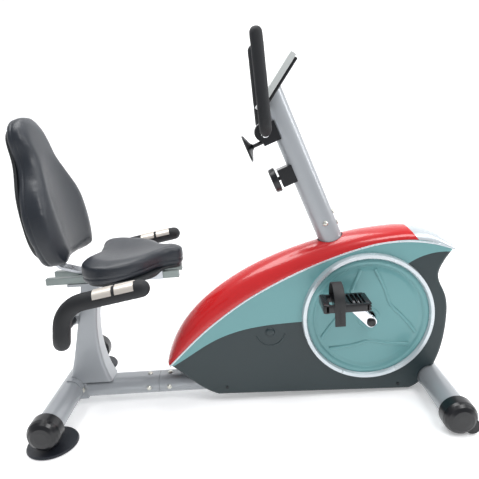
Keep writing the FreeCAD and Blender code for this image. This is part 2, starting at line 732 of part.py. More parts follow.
def hand_rail_path():
    """From the right grip down, across behind the post, and up to the left grip."""
    grip_y = size("rail_grip_y")
    height = size("rail_grip_height")
    cross_x = size("hand_rail_cross_ahead")
    cross_z = size("hand_rail_cross_height")
    right = [at(size("rail_grip_front"), -grip_y, height), at(cross_x + 96, -grip_y, height - 35),
             at(cross_x + 78, -grip_y, cross_z + 50), at(cross_x, -grip_y / 4, cross_z)]
    left = [Vector(point.x, -point.y, point.z) for point in reversed(right)]
    return bent_path(right + left, (80, 38, 60, 60, 38, 80))


RAIL_PATH = hand_rail_path()


def hand_rail():
    tube = rod_along(RAIL_PATH, size("hand_rail_radius"))
    return tube.cut(rod_along(RAIL_PATH, size("hand_rail_radius - hand_rail_wall")))


def hand_grip():
    """Foam from the front end of the rail to just past its lower bend."""
    foam = rod_along(RAIL_PATH, size("hand_foam_radius"))
    reach = size("rail_grip_y") + 100
    side = block(size("rear_x") - 100, size("rear_x + rail_grip_front") + 100, -reach,
                 -size("rail_grip_y - hand_foam_radius"), 0, 1000)
    front = RAIL_PATH.Edges[0].valueAt(0)
    end_ball = Part.makeSphere(size("hand_foam_radius"), front)
    tube = rod_along(RAIL_PATH, size("hand_rail_radius"))
    return foam.common(side).fuse(end_ball).cut(tube).removeSplitter()


def pulse_plates():
    """Two curved plates on the upper outer side of each grip."""
    run = RAIL_PATH.Edges[0]
    front = run.valueAt(run.FirstParameter)
    back = run.valueAt(run.LastParameter)
    slope = math.degrees(math.atan2(front.z - back.z, front.x - back.x))
    length = size("pulse_plate_length")
    inner = size("hand_foam_radius")
    outer = size("hand_foam_radius + pulse_plate_depth")
    plates = []
    for order in (0, 1):
        start = -14 - (length + size("pulse_plate_gap")) * order - length
        ring = Part.makeCylinder(outer, length, Vector(start, 0, 0), Vector(1, 0, 0))
        ring = ring.cut(Part.makeCylinder(inner, length, Vector(start, 0, 0), Vector(1, 0, 0)))
        plate = ring.common(block(start, start + length, -outer, outer, 0.2 * outer, outer))
        plate.rotate(Vector(), Vector(0, 1, 0), -slope)
        plate.translate(front)
        plates += [plate, mirrored(plate)]
    return Part.makeCompound(plates)


def rail_saddle():
    """The saddle welded to the back of the post, round the crossing tube."""
    x = size("rear_x + hand_rail_cross_ahead")
    z = size("hand_rail_cross_height")
    radius = size("hand_rail_radius")
    ring = Part.makeCylinder(radius + 4, 44, Vector(x, -22, z), Vector(0, 1, 0))
    arm = block(x, size("rear_x + post_ahead") + 10, -22, 22, z - radius, z + radius)
    tube = Part.makeCylinder(radius, 60, Vector(x, -30, z), Vector(0, 1, 0))
    return ring.fuse(arm).cut(tube).cut(post_loft(0))


node("hand_rail", made("hand_rail", hand_rail()))
grip = hand_grip()
node("hand_grips", made("hand_grips", Part.makeCompound([grip, mirrored(grip)])))
node("pulse_plates", made("pulse_plates", pulse_plates()))
node("seat_post", made("seat_post", seat_post().fuse(rail_saddle())))

# ---- mast ----
CRANK_X = "rear_x + crank_ahead"
CRANK_Z = "crank_height"
MAST_TURN = (Vector(0, 1, 0), "-mast_lean")


def mast_x(up, back="0"):
    return f"rear_x + mast_ahead - ({up}) * sin(mast_lean) - ({back}) * cos(mast_lean)"


def mast_z(up, back="0"):
    return f"mast_foot_height + ({up}) * cos(mast_lean) - ({back}) * sin(mast_lean)"


def along_mast(name, radius, start, length, across="0"):
    return cylinder(name, radius, length, mast_x(start), across, mast_z(start), MAST_TURN)


# The console is built in its own frame: local +X points at the rider, +Z up the slope.
CONSOLE_TURN = (Vector(0, 1, 0), "console_tilt")
CONSOLE_X = mast_x("console_up", "console_back")
CONSOLE_Z = mast_z("console_up", "console_back")


def console_x(up, out):
    """Where a point of the console is: up its slope, and out towards the rider."""
    return f"{CONSOLE_X} + ({up}) * sin(console_tilt) - ({out}) * cos(console_tilt)"


def console_z(up, out):
    return f"{CONSOLE_Z} + ({up}) * cos(console_tilt) + ({out}) * sin(console_tilt)"


def console_box(name, low, length, half_width, near, depth):
    """near and depth run from the face nearest the rider, away from the rider."""
    return box(name, depth, f"2 * ({half_width})", length, console_x(low, near), f"-({half_width})",
               console_z(low, near), CONSOLE_TURN)


def console_hole(name, radius, up, across, out, depth):
    """A hole from the rider's side into the console."""
    return cylinder(name, radius, depth, console_x(up, out), across, console_z(up, out),
                    (Vector(0, 1, 0), "90 + console_tilt"))


STUB_FOOT = f"(({BEAM_TOP}) - mast_foot_height) / cos(mast_lean) - mast_radius"


def mast_stub():
    """The stub rises from the beam, carries the bottom bracket and enters the mast."""
    length = f"stub_above - ({STUB_FOOT})"
    outer = along_mast("stub_outer", "mast_radius - mast_wall", STUB_FOOT, length)
    inner = along_mast("stub_inner", "mast_radius - 2 * mast_wall", STUB_FOOT, length)
    below = box("stub_below_beam_top", "400", "200", "200", "rear_x + mast_ahead", "-100",
                f"{BEAM_TOP} - 200")
    hole = cylinder("stub_bracket_hole", "shell_radius", "2 * mast_radius",
                    "rear_x + crank_ahead", "-mast_radius", "crank_height")
    return cut("mast_stub_tube", outer, inner, below, hole)


def ring_tube(name, outer, inner, length, x, y, z):
    return cut(name, cylinder(name + "_outer", outer, length, x, y, z),
               cylinder(name + "_inner", inner, length, x, y, z))


def bottom_bracket():
    """The shell that holds the crank bearings, welded through the stub."""
    return ring_tube("bottom_bracket", "shell_radius", "bearing_radius", "2 * shell_half_length",
                     CRANK_X, "-shell_half_length", CRANK_Z)


def mast():
    """The mast sleeve, trimmed at the back of the console."""
    length = "mast_length + mast_below"
    outer = along_mast("mast_outer", "mast_radius", "-mast_below", length)
    inner = along_mast("mast_inner", "mast_radius - mast_wall", "-mast_below", length)
    return cut("mast_tube", outer, inner, console_box("mast_top_room", "-400", "800", "300", "200",
                                                      "200 + console_back_depth"))


node("mast_stub", fuse("mast_stub_welded", mast_stub(), bottom_bracket()))
node("mast", mast())


def domed_bolt(name, x, y, z, turn, length="14"):
    """A bolt with a domed head; it points into the metal along its turn."""
    return turned(name, [("0", "-5"), ("bolt_head_radius - 3", "-4.4"), ("bolt_head_radius", "-1.5"),
                         ("bolt_head_radius", "0"), ("bolt_shank_radius", "0"),
                         ("bolt_shank_radius", length), ("0", length)], x, y, z, turn)


def bolt_hole(name, x, y, z, turn):
    return cylinder(name, "bolt_shank_radius", "14", x, y, z, turn)


def frame_bolts():
    """Beam splice, stabilizer saddles and mast foot are all held by one kind of bolt."""
    toward_left = (Vector(1, 0, 0), -90)
    toward_right = (Vector(1, 0, 0), 90)
    down = (Vector(0, 1, 0), 180)
    bolts = []
    for order, offset in enumerate(("-34", "34")):
        x = f"rear_x + splice_ahead + {offset}"
        bolts.append(("splice_right_%d" % order, x, "-beam_width / 2", "beam_axis_height", toward_left))
        bolts.append(("splice_left_%d" % order, x, "beam_width / 2", "beam_axis_height", toward_right))
        bolts.append(("splice_top_%d" % order, x, "0", BEAM_TOP, down))
    for side, y, turn in (("right", "-mast_radius", toward_left), ("left", "mast_radius", toward_right)):
        bolts.append((f"mast_bolt_{side}", mast_x("56"), y, mast_z("56"), turn))
    for order, up in enumerate(("38", "74")):
        bolts.append((f"mast_front_{order}", mast_x(up, "-mast_radius"), "0", mast_z(up, "-mast_radius"),
                      (Vector(0, 1, 0), "-90 - mast_lean")))
    sleeve = "stabilizer_radius + saddle_thickness"
    for end, x, z, turn in (("rear", f"rear_x + {sleeve}", "rear_axis_height", (Vector(0, 1, 0), -90)),
                            ("front", f"{FRONT_X} - ({sleeve})", FRONT_Z, ALONG_X)):
        for side, y in (("right", "-(saddle_half_length - 9)"), ("left", "saddle_half_length - 9")):
            bolts.append((f"saddle_bolt_{end}_{side}", x, y, z, turn))
    return bolts


BOLTS = frame_bolts()
node("frame_bolts", group("frame_bolts", *[domed_bolt(*bolt) for bolt in BOLTS]))


def bolted(name, *prefixes):
    """Cut the holes of the bolts that go into a node, from the node's own object."""
    base = NODES[name]
    base.Label = name + "_plain"
    holes = [bolt_hole(f"{name}_{bolt[0]}_hole", *bolt[1:]) for bolt in BOLTS
             if bolt[0].startswith(prefixes)]
    node(name, cut(name + "_drilled", base, *holes))


bolted("rear_beam", "splice_right_0", "splice_left_0", "splice_top_0")
bolted("main_beam", "splice_right_1", "splice_left_1", "splice_top_1")
bolted("mast", "mast_")
bolted("mast_stub", "mast_")
bolted("stabilizer_saddles", "saddle_")
bolted("rear_stabilizer", "saddle_bolt_rear")
bolted("front_stabilizer", "saddle_bolt_front")

# ---- handlebar ----
BAR_X = mast_x("bar_up", "bar_back")
BAR_Z = mast_z("bar_up", "bar_back")


def bar_path():
    """A wide U: up the right grip, across the clamp and up the left grip."""
    x, z = size(BAR_X), size(BAR_Z)
    half, rise, lean = size("bar_half_width"), size("bar_rise"), size("bar_lean")
    corners = [Vector(x - lean, -half, z + rise), Vector(x, -half, z),
               Vector(x, half, z), Vector(x - lean, half, z + rise)]
    return bent_path(corners, [size("bar_bend")] * 2)


BAR_PATH = bar_path()


def handlebar():
    return rod_along(BAR_PATH, size("bar_radius")).cut(rod_along(BAR_PATH, size("bar_radius - bar_wall")))


def bar_grip():
    """Foam over an upright and part of its bend, closed by a rounded end."""
    foam = rod_along(BAR_PATH, size("bar_foam_radius"))
    half = size("bar_half_width")
    reach = 200
    side = block(size(BAR_X) - reach, size(BAR_X) + reach, -half - reach,
                 -half + size("bar_foam_radius") + 2, 0, size(BAR_Z) * 2)
    top = BAR_PATH.Edges[0].valueAt(0)
    end_ball = Part.makeSphere(size("bar_foam_radius"), top)
    return foam.common(side).fuse(end_ball).cut(rod_along(BAR_PATH, size("bar_radius"))).removeSplitter()


node("handlebar", made("handlebar", handlebar()))
bar_foam = bar_grip()
node("bar_grips", made("bar_grips", Part.makeCompound([bar_foam, mirrored(bar_foam)])))


KNOB_UP = "bar_up - clamp_jaw + 12"
TOWARD_RIDER = (Vector(0, 1, 0), "-90 - mast_lean")


def bar_clamp():
    """A split clamp moulded round the handlebar and against the mast."""
    barrel = cylinder("clamp_barrel", "clamp_radius", "2 * clamp_half_length",
                      BAR_X, "-clamp_half_length", BAR_Z)
    low = "bar_up - clamp_jaw"
    bridge = box("clamp_bridge", "bar_back - mast_radius + 28", "2 * clamp_half_length", "clamp_jaw + 20",
                 mast_x(low, "bar_back + 14"), "-clamp_half_length", mast_z(low, "bar_back + 14"), MAST_TURN)
    bore = cylinder("clamp_bore", "bar_radius + running_clearance", "4 * clamp_half_length",
                    BAR_X, "-2 * clamp_half_length", BAR_Z)
    mast_room = along_mast("clamp_mast_room", "mast_radius", "bar_up - 120", "240")
    stem_room = cylinder("clamp_stem_room", "knob_stem_radius + running_clearance", "2 * clamp_radius",
                         mast_x(KNOB_UP, "bar_back - 5"), "0", mast_z(KNOB_UP, "bar_back - 5"), TOWARD_RIDER)
    return cut("bar_clamp_body", fuse("clamp_solid", barrel, bridge), bore, mast_room, stem_room)


node("bar_clamp", bar_clamp())

# The clamp knob: a stem into the clamp and a wide shallow cone that the hand turns.
node("clamp_knob",
     turned("clamp_knob",
            [("0", "0"), ("knob_stem_radius", "0"), ("knob_stem_radius", "knob_reach - 12"),
             ("knob_stem_radius + 6", "knob_reach - 6"), ("knob_radius - 3", "knob_reach + 5"),
             ("knob_radius", "knob_reach + 9"), ("knob_radius - 3", "knob_reach + 11"),
             ("0", "knob_reach + 7")],
            mast_x(KNOB_UP, "bar_back - 4"), "0", mast_z(KNOB_UP, "bar_back - 4"), TOWARD_RIDER))

# ---- tension control ----
HOUSING_BACK = "mast_radius + dial_housing_depth"


def tension_housing():
    low = "dial_up - dial_housing_length / 2"
    body = box("tension_box", f"{HOUSING_BACK}", "dial_housing_width", "dial_housing_length",
               mast_x(low, HOUSING_BACK), "-dial_housing_width / 2", mast_z(low, HOUSING_BACK), MAST_TURN)
    room = along_mast("tension_mast_room", "mast_radius", "dial_up - 150", "300")
    front = box("tension_front_cut", "200", "200", "300", mast_x("dial_up - 150"), "-100",
                mast_z("dial_up - 150"), MAST_TURN)
    inside = f"{HOUSING_BACK} - 24"
    bore = cylinder("tension_bore", "6 + running_clearance", "30", mast_x("dial_up", inside), "0",
                    mast_z("dial_up", inside), TOWARD_RIDER)
    return cut("tension_housing_body", body, room, front, bore)


node("tension_housing", tension_housing())
node("tension_dial",
     turned("tension_dial",
            [("0", "0"), ("6", "0"), ("6", "dial_gap + 20"), ("dial_radius - 3", "dial_gap + 20"),
             ("dial_radius", "dial_gap + 23"), ("dial_radius - 2", "dial_gap + 17 + dial_thickness"),
             ("dial_radius - 6", "dial_gap + 20 + dial_thickness"), ("0", "dial_gap + 20 + dial_thickness")],
            mast_x("dial_up", f"{HOUSING_BACK} - 20"), "0", mast_z("dial_up", f"{HOUSING_BACK} - 20"),
            TOWARD_RIDER))

# ---- console ----
BUTTONS = (("right", "-button_spread"), ("left", "button_spread"))


def console_front():
    slab = console_box("console_front_slab", "-console_length / 2", "console_length", "console_half_width",
                       "console_front_depth", "console_front_depth")
    hollow = console_box("console_front_room", "-console_length / 2 + 4", "console_length - 8",
                         "console_half_width - 4", "console_front_depth - 4", "console_front_depth")
    seat = console_box("console_lens_seat", "-6", "lens_length", "lens_half_width",
                       "console_front_depth", "lens_depth")
    holes = [console_hole(f"button_hole_{side}", "button_radius + slide_clearance", "-48", y,
                          "console_front_depth + 1", "8") for side, y in BUTTONS]
    return cut("console_front_body", slab, hollow, seat, *holes)


node("console_front", console_front())
node("console_back", console_box("console_back_slab", "-console_length / 2 + 5", "console_length - 10",
                                 "console_half_width - 5", "0", "console_back_depth"))
node("console_lens", console_box("console_lens_slab", "-6", "lens_length", "lens_half_width",
                                 "console_front_depth", "lens_depth"))
for side, y in BUTTONS:
    node(f"console_button_{side}",
         turned(f"console_button_{side}",
                [("0", "0"), ("button_radius - 2", "0"), ("button_radius", "1.5"), ("button_radius", "9"),
                 ("0", "9")],
                console_x("-48", "console_front_depth + 3"), y, console_z("-48", "console_front_depth + 3"),
                (Vector(0, 1, 0), "90 + console_tilt")))


# ---- drive train ----
node("crank_bearings", group("crank_bearings", *[
    ring_tube(f"crank_bearing_{side}", "bearing_radius", "axle_radius + running_clearance", "bearing_width",
              CRANK_X, y, CRANK_Z)
    for side, y in (("right", "-shell_half_length"), ("left", "shell_half_length - bearing_width"))]))
AXLE_HALF = "crank_arm_y + crank_arm_thickness"
node("crank_axle", cylinder("crank_axle_rod", "axle_radius", f"2 * ({AXLE_HALF})",
                            CRANK_X, f"-({AXLE_HALF})", CRANK_Z))


def eye_x(sign):
    return f"{CRANK_X} {sign} crank_length * cos(crank_angle)"


def eye_z(sign):
    return f"{CRANK_Z} {sign} crank_length * sin(crank_angle)"


def crank_arm(side, sign, low_y):
    """A forged arm: hub, tapering web and pedal eye."""
    hub = cylinder(f"arm_{side}_hub", "axle_radius + 8", "crank_arm_thickness", CRANK_X, low_y, CRANK_Z)
    eye = cylinder(f"arm_{side}_eye", "spindle_radius + 7", "crank_arm_thickness",
                   eye_x(sign), low_y, eye_z(sign))
    angle = "-crank_angle" if sign == "+" else "180 - crank_angle"
    turn = (Vector(0, 1, 0), angle)
    web = box(f"arm_{side}_web", "crank_length", "crank_arm_thickness", "22",
              f"{CRANK_X} {'+' if sign == '+' else '-'} 11 * sin(crank_angle)", low_y,
              f"{CRANK_Z} {'-' if sign == '+' else '+'} 11 * cos(crank_angle)", turn)
    bore = cylinder(f"arm_{side}_bore", "axle_radius", "crank_arm_thickness", CRANK_X, low_y, CRANK_Z)
    thread = cylinder(f"arm_{side}_thread", "spindle_radius", "crank_arm_thickness",
                      eye_x(sign), low_y, eye_z(sign))
    return cut(f"crank_arm_{side}", fuse(f"arm_{side}_solid", hub, eye, web), bore, thread)


RIGHT_ARM_Y = f"-({AXLE_HALF})"
node("crank_arms", group("crank_arms", crank_arm("right", "+", RIGHT_ARM_Y),
                         crank_arm("left", "-", "crank_arm_y")))
CAP_PROFILE = [("0", "0"), ("axle_radius + 4", "0"), ("axle_radius + 3", "4"), ("axle_radius - 3", "6"), ("0", "6")]
node("crank_caps", group("crank_caps",
                         turned("crank_cap_right", CAP_PROFILE, CRANK_X, RIGHT_ARM_Y, CRANK_Z, (Vector(1, 0, 0), 90)),
                         turned("crank_cap_left", CAP_PROFILE, CRANK_X, AXLE_HALF, CRANK_Z)))
node("drive_pulley",
     turned("drive_pulley",
            [("axle_radius", "-2"), ("axle_radius + 8", "-2"), ("axle_radius + 8", "3"),
             ("drive_pulley_radius - 10", "3"), ("drive_pulley_radius - 10", "0"),
             ("drive_pulley_radius", "0"), ("drive_pulley_radius", "pulley_width"), ("drive_pulley_radius - 10", "pulley_width"),
             ("drive_pulley_radius - 10", "7"), ("axle_radius", "7")],
            CRANK_X, "belt_y - pulley_width / 2", CRANK_Z))

FLYWHEEL_X = "rear_x + flywheel_ahead"
BORE = "flywheel_axle_radius + running_clearance"
RIM_INNER = "flywheel_radius - 26"


def flywheel_profile():
    """Half the flywheel's section: long hub, thin web, heavy rim and the small belt pulley."""
    rim_right, rim_left = "-flywheel_width / 2 - 12", "flywheel_width / 2 - 12"
    web_right, web_left = "-flywheel_web / 2 - 12", "flywheel_web / 2 - 12"
    belt_right, belt_left = "belt_y - pulley_width / 2", "belt_y + pulley_width / 2"
    return [(BORE, "-30"), ("18", "-30"), ("18", web_right), (RIM_INNER, web_right), (RIM_INNER, rim_right),
            ("flywheel_radius", rim_right), ("flywheel_radius", rim_left), (RIM_INNER, rim_left),
            (RIM_INNER, web_left), ("18", web_left), ("18", belt_right), ("small_pulley_radius", belt_right),
            ("small_pulley_radius", belt_left), (BORE, belt_left)]


node("flywheel", turned("flywheel", flywheel_profile(), FLYWHEEL_X, "0", "flywheel_height"))
FORK_RIGHT = "-36"
FORK_LEFT = "belt_y + pulley_width / 2 + 3"
node("flywheel_axle", cylinder("flywheel_axle_rod", "flywheel_axle_radius",
                               f"{FORK_LEFT} + fork_thickness + 4 - ({FORK_RIGHT})", FLYWHEEL_X, f"{FORK_RIGHT} - 4", "flywheel_height"))


def fork_plate(side, low_y, foot_y):
    """A plate from the beam up to the flywheel axle."""
    plate = box(f"fork_{side}_plate", "54", "fork_thickness", f"flywheel_height + 22 - ({BEAM_TOP})",
                f"{FLYWHEEL_X} - 27", low_y, BEAM_TOP)
    foot_low = low_y if side == "right" else f"{low_y} + fork_thickness - ({foot_y})"
    foot = box(f"fork_{side}_foot", "54", foot_y, "fork_thickness", f"{FLYWHEEL_X} - 27", foot_low, BEAM_TOP)
    hole = cylinder(f"fork_{side}_hole", "flywheel_axle_radius", "40", FLYWHEEL_X, f"{low_y} - 10",
                    "flywheel_height")
    return cut(f"fork_{side}", fuse(f"fork_{side}_solid", plate, foot), hole)


def point_at(x, z, radius, degrees, y=0.0):
    """A point on a circle in the side view, its angle measured upwards from forward."""
    angle = math.radians(degrees)
    return Vector(x + radius * math.cos(angle), y, z + radius * math.sin(angle))


def arc_edge(x, z, radius, start, end):
    middle = (start + end) / 2
    return Part.Arc(point_at(x, z, radius, start), point_at(x, z, radius, middle),
                    point_at(x, z, radius, end)).toShape()


def belt_loop(first, second, grow):
    """The outline of a belt round two pulleys, as one face."""
    (x1, z1, r1), (x2, z2, r2) = first, second
    toward = math.degrees(math.atan2(z2 - z1, x2 - x1))
    spread = math.degrees(math.acos((r1 - r2) / math.hypot(x2 - x1, z2 - z1)))
    big, small = r1 + grow, r2 + grow
    edges = [arc_edge(x1, z1, big, toward + spread, toward + 360 - spread),
             arc_edge(x2, z2, small, toward - spread, toward + spread)]
    for side in (spread, -spread):
        edges.append(Part.LineSegment(point_at(x1, z1, big, toward + side),
                                      point_at(x2, z2, small, toward + side)).toShape())
    return side_face(edges)


def drive_belt():
    first = (size(CRANK_X), size(CRANK_Z), size("drive_pulley_radius"))
    second = (size(FLYWHEEL_X), size("flywheel_height"), size("small_pulley_radius"))
    clearance = size("belt_clearance")
    half = size("pulley_width") / 2 - 1
    belt = wide_prism(belt_loop(first, second, clearance + size("belt_thickness")), half)
    belt = belt.cut(wide_prism(belt_loop(first, second, clearance), half + 1))
    belt.translate(Vector(0, size("belt_y"), 0))
    return belt


node("drive_belt", made("drive_belt", drive_belt()))
MAGNET_PIVOT_ANGLE = 168


def magnet_bracket():
    """An arc of magnets round the flywheel's upper rear, on a pivot."""
    x, z = size(FLYWHEEL_X), size("flywheel_height")
    inner = size("flywheel_radius + magnet_gap")
    outer = inner + size("magnet_thickness")
    edges = [arc_edge(x, z, inner, 78, 150), arc_edge(x, z, outer, 78, 150)]
    edges += [Part.LineSegment(point_at(x, z, inner, angle), point_at(x, z, outer, angle)).toShape()
              for angle in (78, 150)]
    shoe = wide_prism(side_face(edges), size("flywheel_width") / 2)
    pivot = point_at(x, z, outer + 6, MAGNET_PIVOT_ANGLE)
    tail = point_at(x, z, (inner + outer) / 2, 148)
    run = pivot - tail
    eye_width = size("flywheel_width")
    arm = Part.makeCylinder(5, run.Length, tail, run).fuse(
        Part.makeCylinder(9, eye_width, pivot - Vector(0, eye_width / 2, 0), Vector(0, 1, 0)))
    whole = shoe.fuse(arm).cut(Part.makeCylinder(4 + size("running_clearance"), 200,
                                                 pivot - Vector(0, 100, 0), Vector(0, 1, 0)))
    whole.translate(Vector(0, -12, 0))
    return whole


node("magnet_bracket", made("magnet_bracket", magnet_bracket()))


def magnet_post():
    """The pivot pin of the magnet bracket, on a small stand welded to the beam."""
    x, z = size(FLYWHEEL_X), size("flywheel_height")
    outer = size("flywheel_radius + magnet_gap + magnet_thickness")
    pivot = point_at(x, z, outer + 6, MAGNET_PIVOT_ANGLE)
    low_y = -12 - size("flywheel_width") / 2 - 8
    pin = Part.makeCylinder(4, size("flywheel_width") + 12, Vector(pivot.x, low_y, pivot.z), Vector(0, 1, 0))
    stand = block(pivot.x - 9, pivot.x + 9, low_y, low_y + 5, size(BEAM_TOP), pivot.z + 9)
    return stand.fuse(pin)


node("flywheel_brackets", group("flywheel_brackets", fork_plate("right", FORK_RIGHT, "24"),
                                fork_plate("left", FORK_LEFT, "56"), made("magnet_stand", magnet_post())))

# ---- pedals ----
PEDAL_NEAR = "crank_arm_y + crank_arm_thickness + pedal_gap"


def pedal_y(side):
    return f"-({PEDAL_NEAR}) - pedal_width" if side == "right" else f"({PEDAL_NEAR})"


node("pedal_spindles", group("pedal_spindles", *[
    cylinder(f"pedal_spindle_{side}", "spindle_radius", "crank_arm_thickness + pedal_gap + pedal_width - 6",
             eye_x(sign), y, eye_z(sign))
    for side, sign, y in (("right", "+", f"-({PEDAL_NEAR}) - pedal_width + 6"),
                          ("left", "-", "crank_arm_y"))]))


def pedal(side, sign):
    """A moulded platform with two through windows, round its spindle."""
    x, z, y = eye_x(sign), eye_z(sign), pedal_y(side)
    slab = box(f"pedal_{side}_slab", "pedal_length", "pedal_width", "pedal_thickness",
               f"{x} - pedal_length / 2", y, f"{z} - pedal_thickness / 2")
    windows = [box(f"pedal_{side}_window_{end}", "pedal_length / 2 - 26", "pedal_width - 24",
                   "pedal_thickness + 2", f"{x} {start}", f"{y} + 12", f"{z} - pedal_thickness / 2 - 1")
               for end, start in (("front", "+ 15"), ("rear", "- pedal_length / 2 + 11"))]
    bore = cylinder(f"pedal_{side}_bore", "spindle_radius + running_clearance", "pedal_width + 2",
                    x, f"{y} - 1", z)
    return cut(f"pedal_{side}_body", slab, *windows, bore)


def pedal_strap(side, sign):
    """A rubber strap that arches over the foot, with its loose end hanging outside."""
    x, z = size(eye_x(sign)), size(eye_z(sign))
    outer_y = size(pedal_y(side)) + (0 if side == "right" else size("pedal_width"))
    inner_y = size(pedal_y(side)) + (size("pedal_width") if side == "right" else 0)
    middle = (outer_y + inner_y) / 2
    outward = -1 if side == "right" else 1
    thick = size("pedal_strap_thickness")
    half = size("pedal_width") / 2
    band = size("strap_band")
    start = x - 22 - band / 2
    level = z + size("pedal_thickness") / 2
    hoop = Part.makeCylinder(half + thick, band, Vector(start, middle, level), Vector(1, 0, 0))
    hoop = hoop.cut(Part.makeCylinder(half, band, Vector(start, middle, level), Vector(1, 0, 0)))
    upper = block(start, start + band, middle - 2 * half, middle + 2 * half, level, level + 2 * half)
    hoop = hoop.common(upper)
    edge = sorted((outer_y, outer_y + outward * thick))
    underside = z - size("pedal_thickness") / 2
    tail = block(start, start + band, edge[0], edge[1], underside - size("strap_tail"), level)
    edge = sorted((inner_y, inner_y - outward * thick))
    leg = block(start, start + band, edge[0], edge[1], underside, level)
    return hoop.fuse([tail, leg]).removeSplitter()


for side, sign in (("right", "+"), ("left", "-")):
    node(f"pedal_{side}", pedal(side, sign))
    node(f"pedal_strap_{side}", made(f"pedal_strap_{side}", pedal_strap(side, sign)))


# ---- plastic covers ----
# The shoulder line runs from the rear tip to the nose: share of the length, share of the rise,
# and the crown's height above it as a share of the highest crown.
SHOULDER = ((0, 0, 0.22), (0.05, 0.115, 0.62), (0.12, 0.275, 0.88), (0.218, 0.457, 1.0),
            (0.33, 0.622, 0.99), (0.444, 0.754, 0.9), (0.56, 0.862, 0.76), (0.68, 0.951, 0.6),
            (0.79, 0.995, 0.48), (0.87, 0.994, 0.45), (0.94, 0.955, 0.34), (1.0, 0.898, 0.14))


def shoulder_point(along, up):
    return at(size("cover_rear") + size("cover_length") * along, 0,
              size("cover_tip_height") + size("cover_rise") * up)


SHOULDER_POINTS = [shoulder_point(along, up) for along, up, _ in SHOULDER]
NOSE = SHOULDER_POINTS[-1]
TIP = SHOULDER_POINTS[0]


def cover_side_face():
    """The side view below the shoulder line: round the crank in front, low over the beam behind."""
    crank_x, crank_z = size(CRANK_X), size(CRANK_Z)
    floor = size("cover_floor_gap")
    disc = size("disc_radius")
    low_front = Vector(crank_x + disc - 72, 0, floor)
    front = spline([NOSE, Vector(crank_x + disc + 28, 0, crank_z + disc * 0.76),
                    Vector(crank_x + disc + 15, 0, crank_z + disc * 0.58),
                    Vector(crank_x + disc + 36, 0, crank_z + disc * 0.28),
                    Vector(crank_x + disc + 44, 0, crank_z - disc * 0.12),
                    Vector(crank_x + disc + 28, 0, crank_z - disc * 0.62),
                    Vector(crank_x + disc - 14, 0, crank_z - disc * 1.06),
                    Vector(crank_x + disc - 42, 0, floor + (crank_z - disc * 1.06 - floor) * 0.36),
                    low_front])
    low_rear = Vector(TIP.x + 150, 0, size("cover_rear_gap"))
    bottom = Part.LineSegment(low_front, low_rear).toShape()
    rear = spline([low_rear, Vector(TIP.x + 88, 0, TIP.z - 78), Vector(TIP.x + 44, 0, TIP.z - 38), TIP])
    return side_face([spline(SHOULDER_POINTS), front, bottom, rear])


def crown_loft(inset):
    """Half-oval sections from shoulder to shoulder; the room inside starts and ends short of them."""
    half = size("cover_half_width") - inset
    count = len(SHOULDER)
    wires = []
    for index in range(1, count - 1) if inset else range(count):
        point = SHOULDER_POINTS[index]
        before = SHOULDER_POINTS[max(index - 1, 0)]
        after = SHOULDER_POINTS[min(index + 1, count - 1)]
        run = (after - before).normalize()
        normal = Vector(-run.z, 0, run.x)
        height = size("crown_height") * SHOULDER[index][2] - inset
        seam = point + normal * size("seam_gap")
        arch = []
        for step in range(9):
            angle = math.pi * step / 8
            arch.append(seam + normal * (height * math.sin(angle)) + Vector(0, -half * math.cos(angle), 0))
        drop = normal * (2 * inset)
        foot = [arch[-1], arch[-1] - drop, arch[0] - drop, arch[0]] if inset else [arch[-1], arch[0]]
        sides = [Part.LineSegment(*pair).toShape() for pair in zip(foot, foot[1:])]
        wires.append(Part.Wire([spline(arch)] + sides))
    return loft(wires)


FACE = cover_side_face()
WALL = size("cover_wall")


def beam_room():
    """The room that the beam takes in the cover's ends."""
    half_flat = size("beam_width - beam_height") / 2
    radius = size("beam_height") / 2 + size("slide_clearance")
    start, end = size("rear_x"), size(FRONT_X)
    middle = size("beam_axis_height")
    room = block(start, end, -half_flat, half_flat, middle - radius, middle + radius)
    for y in (-half_flat, half_flat):
        room = room.fuse(Part.makeCylinder(radius, end - start, Vector(start, y, middle), Vector(1, 0, 0)))
    return room


def stabilizer_room():
    """The room that the front stabilizer and its saddle take under the cover's nose."""
    gap = size("slide_clearance")
    radius = size("stabilizer_radius + saddle_thickness") + gap
    reach = size("stabilizer_radius + saddle_reach") + gap
    half = size("beam_width - 8") / 2 + gap
    middle, tall = size("beam_axis_height"), size("beam_height - 4") / 2 + gap
    web = block(size(FRONT_X) - reach, size(FRONT_X), -half, half, middle - tall, middle + tall)
    return web.fuse(Part.makeCylinder(radius, 400, Vector(size(FRONT_X), -200, size(FRONT_Z)),
                                      Vector(0, 1, 0)))


def ahead_along(edge):
    """Points along an edge of an outline in the outline's own direction, without the last."""
    points = edge.discretize(max(2, int(edge.Length / 40)))
    if edge.Orientation == "Reversed":
        points.reverse()
    return points[:-1]


